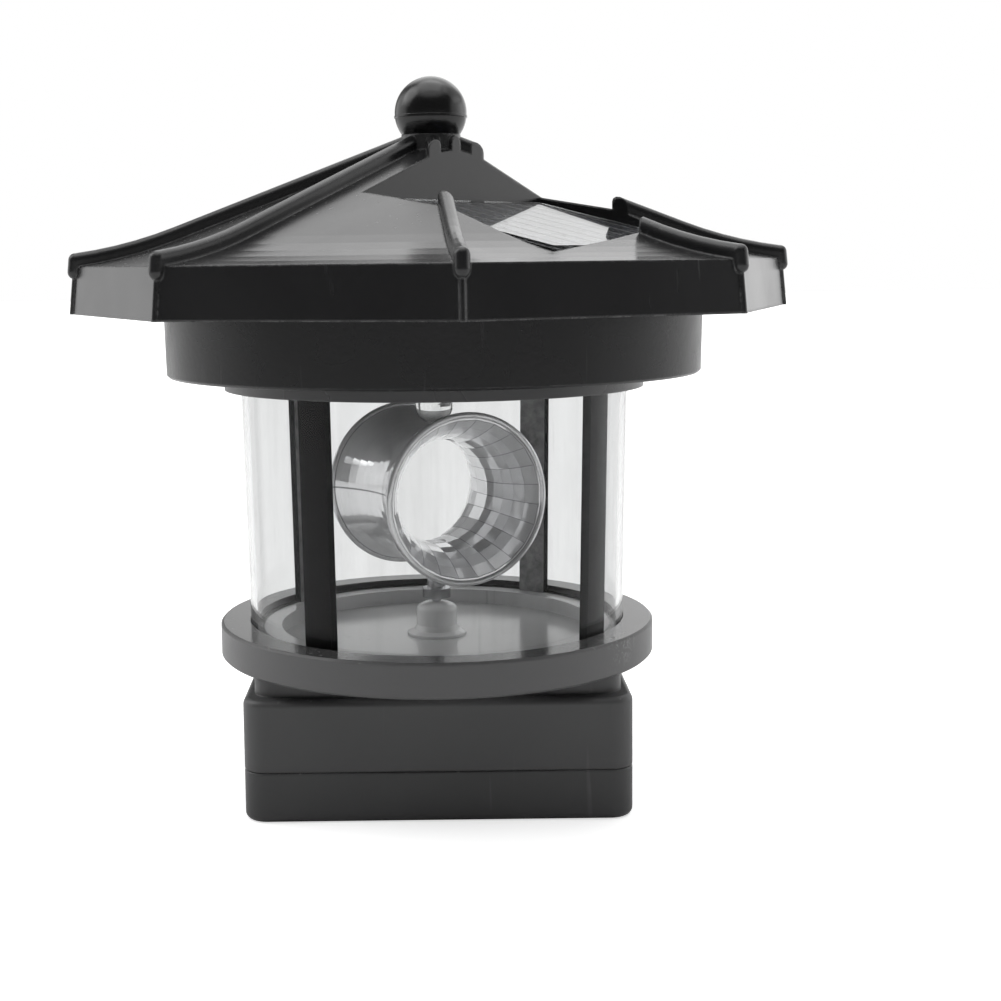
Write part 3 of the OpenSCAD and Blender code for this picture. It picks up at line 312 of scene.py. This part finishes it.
def with_top(tree, gloss, drift, rough):
    """Roughness that is another one, with its own drift, on what faces up."""
    blend = add(tree, "ShaderNodeMix", data_type="FLOAT")
    feed(tree, blend.inputs[0], remap(tree, parts(tree, surface_normal(tree))["Z"], 0.85, 0.97))
    feed(tree, blend.inputs[2], gloss)
    feed(tree, blend.inputs[3], remap(tree, drift, 0.3, 0.7, rough * 0.7, rough * 1.3))
    return blend.outputs[0]


# Materials

DUST_COLOUR = (0.42, 0.42, 0.41)


def plastic(name, colour, rough, drift=0.06, grain=0.1, grain_scale=2600, drift_scale=60, dust=0.2,
            scratches=0.3, specular=0.5, edge=0.25, wear=0.4, top_rough=None, scuffs=(), painted_light_inside=None,
            painted_light_inward=None):
    """Moulded plastic: softened edges, fine grain, drifting gloss, hair scratches, wear and dust.

    inside is a radius and the colour within it, painted light on the dark floor within the lantern; inward is
    the colour of faces that look at the axis, painted light on them.
    """
    material, tree, shader = blank_material(name)
    coords = object_coords(tree)
    rounded = rounded_normal(tree, edge)
    texture = use_group(tree, GRAIN, Grain_Scale=grain_scale, Drift_Scale=drift_scale)
    drifting = texture.outputs["Drift"]
    scratch = use_group(tree, SCRATCH, Scale=90, Amount=scratches).outputs["Mask"]
    worn = use_group(tree, WEAR, Rounded=rounded, Amount=wear).outputs["Mask"]
    settled = use_group(tree, DUST, Amount=dust).outputs["Mask"]
    for place, reach in scuffs:
        worn = math_node(tree, "MAXIMUM", worn, rubbed_mask(tree, coords, place, reach))
    base = mix_colour(tree, drifting, colour, shade(colour, 1.25, 0.003))
    # Painted light: the dark floor within the lantern is made pale, standing in for the light that reaches it
    # there
    if painted_light_inside is not None:
        base = mix_colour(tree, painted_light_inside_mask(tree, coords, painted_light_inside[0]), base, painted_light_inside[1])
    # Painted light: the black posts are made pale on their faces towards the axis, standing in for the light
    # that falls on them from behind
    if painted_light_inward is not None:
        base = mix_colour(tree, painted_light_inward_mask(tree, coords), base, painted_light_inward)
    base = mix_colour(tree, scratch, base, shade(colour, step=0.10))
    base = mix_colour(tree, worn, base, shade(colour, step=0.16))
    base = mix_colour(tree, settled, base, DUST_COLOUR)
    link(tree, base, shader.inputs["Base Color"])
    gloss = remap(tree, drifting, 0.3, 0.7, rough - drift, rough + drift)
    if top_rough is not None:
        gloss = with_top(tree, gloss, drifting, top_rough)
    dull = math_node(tree, "ADD", math_node(tree, "MULTIPLY", settled, 0.4),
                     math_node(tree, "MULTIPLY", worn, 0.25))
    link(tree, math_node(tree, "ADD", gloss, dull, clamp=True), shader.inputs["Roughness"])
    shader.inputs["Specular IOR Level"].default_value = specular
    height = math_node(tree, "SUBTRACT", texture.outputs["Height"], math_node(tree, "ADD", scratch, worn))
    bump(tree, shader, height, grain, base=rounded)
    return material


def clear_plastic(name, tint, painted_edge_shade, rough, scratches=0.5, streaks=0.4, haze=0.03, ior=1.49):
    """Clear moulded plastic: painted shade that greys it where it is seen edge on, with streaks, hair
    scratches and a little haze.
    """
    material, tree, shader = blank_material(name)
    scratch = use_group(tree, SCRATCH, Scale=60, Amount=scratches).outputs["Mask"]
    streak = use_group(tree, STREAK, Amount=streaks).outputs["Mask"]
    # Painted shade: the colour turns towards the edge colour where the surface is seen edge on, standing in
    # for the dark surroundings seen through its edges
    facing = add(tree, "ShaderNodeLayerWeight")
    facing.inputs["Blend"].default_value = 0.35
    grey = remap(tree, facing.outputs["Facing"], 0.15, 1.0, smooth=True)
    base = mix_colour(tree, grey, tint, painted_edge_shade)
    base = mix_colour(tree, streak, base, shade(tint, 0.8))
    base = mix_colour(tree, scratch, base, shade(tint, 0.55))
    link(tree, base, shader.inputs["Base Color"])
    cloudy = math_node(tree, "ADD", math_node(tree, "MULTIPLY", streak, haze),
                       math_node(tree, "MULTIPLY", scratch, 0.35))
    link(tree, math_node(tree, "ADD", cloudy, rough, clamp=True), shader.inputs["Roughness"])
    shader.inputs["Transmission Weight"].default_value = 1
    shader.inputs["IOR"].default_value = ior
    bump(tree, shader, scratch, 0.15, 0.0001)
    return material


def seam_mask(tree, coords, level):
    """Mould line at a level, on the left half of the outside, in millimetres."""
    place = parts(tree, coords)
    off = math_node(tree, "ABSOLUTE", math_node(tree, "SUBTRACT", place["Z"], level * MM))
    line = remap(tree, off, 0.16 * MM, 0.06 * MM)
    return math_node(tree, "MULTIPLY", line, remap(tree, place["X"], -6.2 * MM, -6.8 * MM))


def metal(name, colour, rough, brushed=(1, 1, 0.05), scale=700, tarnish=0.15, strength=0.1, seam=None,
          edge=0.08, metallic=1, painted_border_shade=0):
    """Metal, or a metallised skin, with brush lines, tarnish, hair scratches and softened edges.

    seam is the level of a mould line, and borders is painted shade that darkens the lines between facets.
    """
    material, tree, shader = blank_material(name)
    coords = object_coords(tree)
    rounded = rounded_normal(tree, edge)
    lines = height = noise(tree, mapped(tree, coords, brushed), scale, 3)
    spots = remap(tree, noise(tree, coords, 160, 6, 0.7), 0.5, 0.8)
    scratch = use_group(tree, SCRATCH, Scale=120, Amount=0.5).outputs["Mask"]
    base = mix_colour(tree, math_node(tree, "MULTIPLY", spots, tarnish), colour, shade(colour, 0.45))
    base = mix_colour(tree, scratch, base, shade(colour, 1.3))
    # Painted shade: darker lines where the facets meet, standing in for the shade and dark reflections at
    # their edges
    if painted_border_shade:
        same = vector_node(tree, "DOT_PRODUCT", surface_normal(tree), rounded)
        painted_border_mask = math_node(tree, "MULTIPLY", remap(tree, same, 0.9995, 0.997), painted_border_shade)
        base = mix_colour(tree, painted_border_mask, base, shade(colour, 0.25))
    if seam is not None:
        line = seam_mask(tree, coords, seam)
        base = mix_colour(tree, line, base, shade(colour, 0.3))
        height = math_node(tree, "ADD", lines, math_node(tree, "MULTIPLY", line, 3.0))
    link(tree, base, shader.inputs["Base Color"])
    shader.inputs["Metallic"].default_value = metallic
    link(tree, remap(tree, lines, 0.3, 0.7, rough * 0.7, rough * 1.4), shader.inputs["Roughness"])
    bump(tree, shader, height, strength, 0.0001, base=rounded)
    return material


def cells_material(name):
    """Solar cells: blue-black flakes under a sheen."""
    material, tree, shader = blank_material(name)
    coords = object_coords(tree)
    flakes = add(tree, "ShaderNodeTexVoronoi")
    flakes.inputs["Scale"].default_value = 420
    link(tree, coords, flakes.inputs["Vector"])
    grey = add(tree, "ShaderNodeRGBToBW")
    link(tree, flakes.outputs["Color"], grey.inputs["Color"])
    base = mix_colour(tree, math_node(tree, "MULTIPLY", grey.outputs["Val"], 0.6),
                      (0.010, 0.012, 0.022), (0.022, 0.028, 0.055))
    link(tree, base, shader.inputs["Base Color"])
    link(tree, remap(tree, noise(tree, coords, 300, 4), 0.3, 0.7, 0.12, 0.3), shader.inputs["Roughness"])
    bump(tree, shader, grey.outputs["Val"], 0.04, 0.0001)
    return material


def board_material(name):
    """Green circuit board with copper runs under the varnish."""
    material, tree, shader = blank_material(name)
    coords = object_coords(tree)
    runs = add(tree, "ShaderNodeTexBrick")
    runs.inputs["Scale"].default_value = 420
    runs.inputs["Mortar Size"].default_value = 0.03
    link(tree, coords, runs.inputs["Vector"])
    base = mix_colour(tree, runs.outputs["Fac"], (0.012, 0.10, 0.04), (0.05, 0.22, 0.09))
    link(tree, base, shader.inputs["Base Color"])
    link(tree, remap(tree, noise(tree, coords, 400, 3), 0.3, 0.7, 0.22, 0.4), shader.inputs["Roughness"])
    bump(tree, shader, runs.outputs["Fac"], 0.2, 0.0001)
    return material


RING_SCUFF = ((23.5, -17.2, GALLERY_TOP), 4.0)

MATERIALS = {
    "roof_shell": plastic("roof_gloss_black", (0.009, 0.009, 0.0095), 0.22, drift=0.05, grain=0.03,
                          grain_scale=900, drift_scale=45, dust=0.12, scratches=0.35, edge=0.45, wear=0.5),
    "finial_ball": plastic("ball_black", (0.002, 0.002, 0.0022), 0.18, grain=0.05, dust=0.1, edge=0.1),
    "eave_drum": plastic("drum_satin_black", (0.004, 0.004, 0.0045), 0.28, grain=0.08, grain_scale=1500,
                         drift_scale=80, scratches=0.25, specular=0.28),
    "lantern_cap": plastic("cap_satin_black", (0.028, 0.028, 0.029), 0.3, dust=0.1),
    "gallery_ring": plastic("gallery_satin_black", (0.08, 0.08, 0.081), 0.38, drift=0.08, grain=0.1,
                            grain_scale=1700, drift_scale=70, dust=0.25, scratches=0.4, top_rough=0.13,
                            scuffs=(RING_SCUFF,), painted_light_inside=(LANTERN_INSIDE, (0.72, 0.72, 0.72))),
    "shaft_bush": plastic("bush_grey", (0.85, 0.85, 0.85), 0.25, dust=0.2, edge=0.15),
    "box_shell": plastic("box_satin_black", (0.055, 0.055, 0.056), 0.4, drift=0.08, grain=0.12,
                         grain_scale=1300, drift_scale=55, scratches=0.3),
    "box_cover": plastic("cover_satin_black", (0.04, 0.04, 0.041), 0.41, drift=0.08, grain=0.12,
                         grain_scale=1300, drift_scale=50, scratches=0.3),
    "led_holder": plastic("holder_black", (0.02, 0.02, 0.02), 0.4, dust=0.1, edge=0.1),
    "lantern_glass": clear_plastic("lantern_clear", (0.9, 0.905, 0.905), (0.78, 0.785, 0.785), 0.01,
                                   streaks=0.5, ior=THIN_CLEAR),
    "panel_cover": clear_plastic("panel_cover_clear", (0.97, 0.98, 0.985), (0.9, 0.91, 0.91), 0.015,
                                 scratches=0.3, ior=COVER_CLEAR),
    "led": clear_plastic("led_clear", (0.97, 0.98, 0.97), (0.9, 0.9, 0.9), 0.02, scratches=0.1, ior=1.5),
    "reflector": metal("reflector_metallised", (0.94, 0.94, 0.95), 0.07, brushed=(1, 1, 1), scale=240,
                       tarnish=0.3, strength=0.06, seam=REFLECTOR_LEVEL, edge=0.16, metallic=0.45,
                       painted_border_shade=0.85),
    "reflector_stem": metal("stem_metallised", (0.5, 0.5, 0.51), 0.16, brushed=(1, 1, 1), scale=300),
    "panel_board": plastic("panel_edge_black", (0.02, 0.02, 0.024), 0.5, dust=0.2, edge=0.1),
    "panel_cells": cells_material("solar_cell_dark"),
    "drive_shaft": metal("shaft_steel", (0.6, 0.6, 0.61), 0.18),
    "motor_can": metal("motor_steel", (0.58, 0.58, 0.6), 0.25),
    "motor_strap": metal("strap_steel", (0.5, 0.5, 0.52), 0.3, brushed=(0.05, 1, 1)),
    "contact_plates": metal("contact_nickel", (0.68, 0.67, 0.64), 0.2),
    "contact_spring": metal("spring_nickel", (0.68, 0.67, 0.64), 0.2),
    "switch_body": metal("switch_steel", (0.6, 0.6, 0.62), 0.25),
    "battery_cell": plastic("cell_sleeve_green", (0.05, 0.24, 0.09), 0.25, dust=0.05, edge=0.15),
    "circuit_board": board_material("board_green"),
    "board_parts": plastic("parts_black", (0.03, 0.03, 0.032), 0.35, dust=0.1, edge=0.08),
    "switch_slider": plastic("knob_white", (0.62, 0.62, 0.59), 0.4, dust=0.1, scratches=0.2, edge=0.1),
}
POST = plastic("post_black", (0.010, 0.010, 0.0105), 0.2, drift=0.03, grain=0.03, dust=0.1,
               scratches=0.35, specular=0.02, edge=0.12, painted_light_inward=(0.45, 0.45, 0.45))
SCREW = metal("screw_zinc", (0.55, 0.55, 0.56), 0.3, tarnish=0.4)
WIRE = plastic("wire_sleeve_black", (0.02, 0.02, 0.02), 0.45, dust=0.1, scratches=0.1, edge=0.05)
GRID = metal("cell_grid_silver", (0.2, 0.2, 0.205), 0.45, brushed=(1, 1, 1), scale=900)


def material_for(name):
    if name in MATERIALS:
        return MATERIALS[name]
    if name.startswith("post_"):
        return POST
    if name.endswith("_screws"):
        return SCREW
    return WIRE


for name, obj in nodes.items():
    obj.data.materials.clear()
    obj.data.materials.append(material_for(name))


# Solar cells: four strips, each with fine silver fingers across it and two busbars along it

def grid_tree():
    tree = bpy.data.node_groups.new("cell_grid", "GeometryNodeTree")
    tree.interface.new_socket(name="Geometry", in_out="OUTPUT", socket_type="NodeSocketGeometry")
    sizes = {
        "Strip Length": CELL_LENGTH, "Strip Width": STRIP_WIDTH, "Strip Height": CELL_SHEET - FINGER_HEIGHT,
        "Strip Pitch": STRIP_WIDTH + STRIP_GAP, "Finger Width": 0.09, "Finger Height": FINGER_HEIGHT,
        "Finger Pitch": 0.95, "Busbar Width": 0.55, "Busbar Share": 0.5,
    }
    for label, value in sizes.items():
        socket = tree.interface.new_socket(name=label, in_out="INPUT", socket_type="NodeSocketFloat")
        socket.default_value = value if label.endswith("Share") else value * MM
    socket = tree.interface.new_socket(name="Strips", in_out="INPUT", socket_type="NodeSocketInt")
    socket.default_value = STRIPS
    given = add(tree, "NodeGroupInput").outputs

    def block(length, width, height, lift):
        size = add(tree, "ShaderNodeCombineXYZ")
        for socket, value in zip(size.inputs, (length, width, height)):
            feed(tree, socket, value)
        cube = add(tree, "GeometryNodeMeshCube")
        link(tree, size.outputs[0], cube.inputs["Size"])
        move = add(tree, "GeometryNodeTransform")
        link(tree, cube.outputs["Mesh"], move.inputs["Geometry"])
        place = add(tree, "ShaderNodeCombineXYZ")
        feed(tree, place.inputs[2], lift)
        link(tree, place.outputs[0], move.inputs["Translation"])
        return move.outputs["Geometry"]

    def along(axis, count, pitch, shape):
        """Copies of a shape on a line that is centred on the origin."""
        span = math_node(tree, "MULTIPLY", math_node(tree, "SUBTRACT", count, 1), pitch)
        start, step = add(tree, "ShaderNodeCombineXYZ"), add(tree, "ShaderNodeCombineXYZ")
        feed(tree, start.inputs[axis], math_node(tree, "MULTIPLY", span, -0.5))
        feed(tree, step.inputs[axis], pitch)
        line = add(tree, "GeometryNodeMeshLine", mode="OFFSET")
        feed(tree, line.inputs["Count"], count)
        link(tree, start.outputs[0], line.inputs["Start Location"])
        link(tree, step.outputs[0], line.inputs["Offset"])
        copies = add(tree, "GeometryNodeInstanceOnPoints")
        link(tree, line.outputs["Mesh"], copies.inputs["Points"])
        link(tree, shape, copies.inputs["Instance"])
        return copies.outputs["Instances"]

    def painted(shape, material):
        real = add(tree, "GeometryNodeRealizeInstances")
        link(tree, shape, real.inputs["Geometry"])
        paint = add(tree, "GeometryNodeSetMaterial")
        link(tree, real.outputs["Geometry"], paint.inputs["Geometry"])
        paint.inputs["Material"].default_value = material
        return paint.outputs["Geometry"]

    length, width = given["Strip Length"], given["Strip Width"]
    half_strip = math_node(tree, "MULTIPLY", given["Strip Height"], 0.5)
    half_finger = math_node(tree, "MULTIPLY", given["Finger Height"], 0.5)
    raised = math_node(tree, "ADD", given["Strip Height"], half_finger)
    strip = block(length, width, given["Strip Height"], half_strip)
    finger = block(given["Finger Width"], width, given["Finger Height"], raised)
    busbar = block(length, given["Busbar Width"], given["Finger Height"], raised)
    count = math_node(tree, "FLOOR", math_node(tree, "DIVIDE", length, given["Finger Pitch"]))
    fingers = along(0, count, given["Finger Pitch"], finger)
    bars = along(1, 2, math_node(tree, "MULTIPLY", width, given["Busbar Share"]), busbar)
    silver = add(tree, "GeometryNodeJoinGeometry")
    link(tree, fingers, silver.inputs[0])
    link(tree, bars, silver.inputs[0])
    join = add(tree, "GeometryNodeJoinGeometry")
    for shape, material in ((strip, MATERIALS["panel_cells"]), (silver.outputs[0], GRID)):
        row = along(1, given["Strips"], given["Strip Pitch"], shape)
        link(tree, painted(row, material), join.inputs[0])
    real = add(tree, "GeometryNodeRealizeInstances")
    link(tree, join.outputs[0], real.inputs[0])
    out = add(tree, "NodeGroupOutput")
    link(tree, real.outputs[0], out.inputs[0])
    return tree


def panel_place(lift):
    """Matrix from the panel's own plane to the object, as the CAD model lays it."""
    run, level = PANEL_FOOT
    return (Matrix.Rotation(math.radians(PANEL_BEARING - 90), 4, "Z")
            @ Matrix.Translation((run * MM, 0, level * MM))
            @ Matrix.Rotation(math.radians(PANEL_TILT), 4, "Y")
            @ Matrix.Translation((PANEL_START * MM, 0, lift * MM)))


def make_cell_grid():
    source = bpy.data.objects.new("cell_source", bpy.data.meshes.new("cell_source"))
    bpy.context.scene.collection.objects.link(source)
    modifier = source.modifiers.new("grid", "NODES")
    modifier.node_group = grid_tree()
    shown = source.evaluated_get(bpy.context.evaluated_depsgraph_get())
    mesh = bpy.data.meshes.new_from_object(shown)
    bpy.data.objects.remove(source)
    middle = Matrix.Translation(((CELL_BORDER + CELL_LENGTH / 2) * MM, 0, 0))
    mesh.transform(panel_place(BOARD_SHEET) @ middle)
    mesh.name = "cell_grid"
    piece = bpy.data.objects.new("cell_grid", mesh)
    bpy.context.scene.collection.objects.link(piece)
    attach(piece, "housing")
    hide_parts("panel_cells")


make_cell_grid()


# Studio: pale floor, dark towards the camera, soft boxes at both sides, behind and above

def seen_through(tree):
    """One for rays that went only through clear plastic."""
    path = add(tree, "ShaderNodeLightPath").outputs
    bounced = math_node(tree, "ADD", path["Glossy Depth"], path["Diffuse Depth"])
    straight = math_node(tree, "LESS_THAN", bounced, 0.5)
    return math_node(tree, "MULTIPLY", path["Is Transmission Ray"], straight)


def seen_directly(tree):
    """One for rays from the camera and for those that went only through clear plastic."""
    camera_ray = add(tree, "ShaderNodeLightPath").outputs["Is Camera Ray"]
    return math_node(tree, "MAXIMUM", camera_ray, seen_through(tree))


def blend_shaders(tree, factor, first, second, surface):
    mixed = add(tree, "ShaderNodeMixShader")
    link(tree, factor, mixed.inputs["Fac"])
    link(tree, first, mixed.inputs[1])
    link(tree, second, mixed.inputs[2])
    link(tree, mixed.outputs["Shader"], surface)


FLOOR_HALF = 3.0
FLOOR_WHITE = 0.9
FLOOR_LIFT = 0.6


def make_floor():
    """White floor: it keeps the shadow, and is an even white behind the clear plastic."""
    mesh = bpy.data.meshes.new("floor")
    corners = [(x * FLOOR_HALF, y * FLOOR_HALF, 0) for x, y in ((-1, -1), (1, -1), (1, 1), (-1, 1))]
    mesh.from_pydata(corners, [], [(0, 1, 2, 3)])
    floor = bpy.data.objects.new("floor", mesh)
    bpy.context.scene.collection.objects.link(floor)
    material, tree, shader = blank_material("floor_white")
    shader.inputs["Base Color"].default_value = (FLOOR_WHITE, FLOOR_WHITE, FLOOR_WHITE, 1)
    shader.inputs["Roughness"].default_value = 0.9
    shader.inputs["Specular IOR Level"].default_value = 0.0
    shader.inputs["Emission Color"].default_value = (1, 1, 1, 1)
    lift = math_node(tree, "MULTIPLY", seen_directly(tree), FLOOR_LIFT)
    link(tree, lift, shader.inputs["Emission Strength"])
    even = add(tree, "ShaderNodeEmission")
    blend_shaders(tree, seen_through(tree), shader.outputs["BSDF"], even.outputs["Emission"],
                  tree.nodes["Material Output"].inputs["Surface"])
    floor.data.materials.append(material)


# Each soft box: way to its middle, full out to one angle and gone at another, and strength

SOFT_BOXES = [
    ((-0.85, 0.40, 0.10), 20, 38, 0.95),
    ((-0.70, 0.10, 0.70), 14, 26, 1.6),
    ((0.60, 0.79, 0.12), 18, 34, 0.4),
    ((1.00, 0.10, 0.12), 20, 34, 0.8),
    ((0.10, 0.70, 0.71), 16, 34, 1.45),
    ((0.00, -0.10, 1.00), 24, 44, 1.2),
]

# Each lamp: name, place and target in metres, side in metres and power in watts

LAMPS = [
    ("key_left", (-0.55, 0.05, 0.5), (0, 0, 0.05), 0.5, 0.6),
    ("fill_right", (0.5, 0.15, 0.55), (0, 0, 0.05), 0.5, 0.5),
    ("top", (0, 0.05, 0.8), (0, 0, 0), 0.6, 1.0),
]

ROOM_FRONT = 0.12
ROOM_BACK = 0.22
PAPER = 0.65


def make_world():
    """Dim room that is paler at the back, white paper low behind, and the soft boxes."""
    world = bpy.data.worlds.new("studio")
    bpy.context.scene.world = world
    world.use_nodes = True
    tree = world.node_tree
    tree.nodes.clear()
    out = add(tree, "ShaderNodeOutputWorld")
    way = add(tree, "ShaderNodeTexCoord").outputs["Generated"]
    place = parts(tree, way)
    room = remap(tree, place["Y"], -0.5, 0.5, ROOM_FRONT, ROOM_BACK, smooth=True)
    behind = remap(tree, place["Y"], -0.25, 0.35, smooth=True)
    rightward = remap(tree, place["X"], -0.26, -0.08, 0.1, 1.0, smooth=True)
    paper = math_node(tree, "MULTIPLY", remap(tree, place["Z"], 0.38, 0.25, smooth=True), behind)
    paper = math_node(tree, "MULTIPLY", paper, rightward)
    total = math_node(tree, "ADD", room, math_node(tree, "MULTIPLY", paper, PAPER))
    for centre, inner, outer, strength in SOFT_BOXES:
        same = vector_node(tree, "DOT_PRODUCT", way, tuple(Vector(centre).normalized()))
        box = remap(tree, same, math.cos(math.radians(outer)), math.cos(math.radians(inner)), smooth=True)
        total = math_node(tree, "ADD", total, math_node(tree, "MULTIPLY", box, strength))
    studio, white = add(tree, "ShaderNodeBackground"), add(tree, "ShaderNodeBackground")
    link(tree, total, studio.inputs["Strength"])
    white.inputs["Color"].default_value = studio.inputs["Color"].default_value = (1, 1, 1, 1)
    blend_shaders(tree, seen_directly(tree), studio.outputs["Background"], white.outputs["Background"],
                  out.inputs["Surface"])


def make_lamp(name, place, target, side, power):
    data = bpy.data.lights.new(name, "AREA")
    data.shape = "RECTANGLE"
    data.size = data.size_y = side
    data.energy = power
    lamp = bpy.data.objects.new(name, data)
    bpy.context.scene.collection.objects.link(lamp)
    way = Vector(target) - Vector(place)
    lamp.matrix_world = Matrix.Translation(place) @ way.to_track_quat("-Z", "Y").to_matrix().to_4x4()


# Camera, as fitted to the photograph: its side, focal length and shift in pixels, then place and tilt

PHOTO_SIDE = 1001
FOCAL_LENGTH = 1686
FRAME_SHIFT = (65.5, -33.5)
CAMERA_PLACE = (0, -0.226, 0.0704)
CAMERA_DOWN = 7.0
CAMERA_ROLL = -0.7
SENSOR_WIDTH = 36


def make_camera():
    data = bpy.data.cameras.new("camera")
    data.sensor_width = SENSOR_WIDTH
    data.lens = FOCAL_LENGTH / PHOTO_SIDE * SENSOR_WIDTH
    data.shift_x, data.shift_y = (shift / PHOTO_SIDE for shift in FRAME_SHIFT)
    data.clip_start = 0.01
    camera = bpy.data.objects.new("camera", data)
    bpy.context.scene.collection.objects.link(camera)
    tilt = Matrix.Rotation(math.radians(90 - CAMERA_DOWN), 4, "X")
    roll = Matrix.Rotation(math.radians(CAMERA_ROLL), 4, "Z")
    camera.matrix_world = Matrix.Translation(CAMERA_PLACE) @ tilt @ roll
    bpy.context.scene.camera = camera


make_floor()
make_world()
for lamp in LAMPS:
    make_lamp(*lamp)
make_camera()
bpy.context.scene.view_settings.view_transform = "Standard"
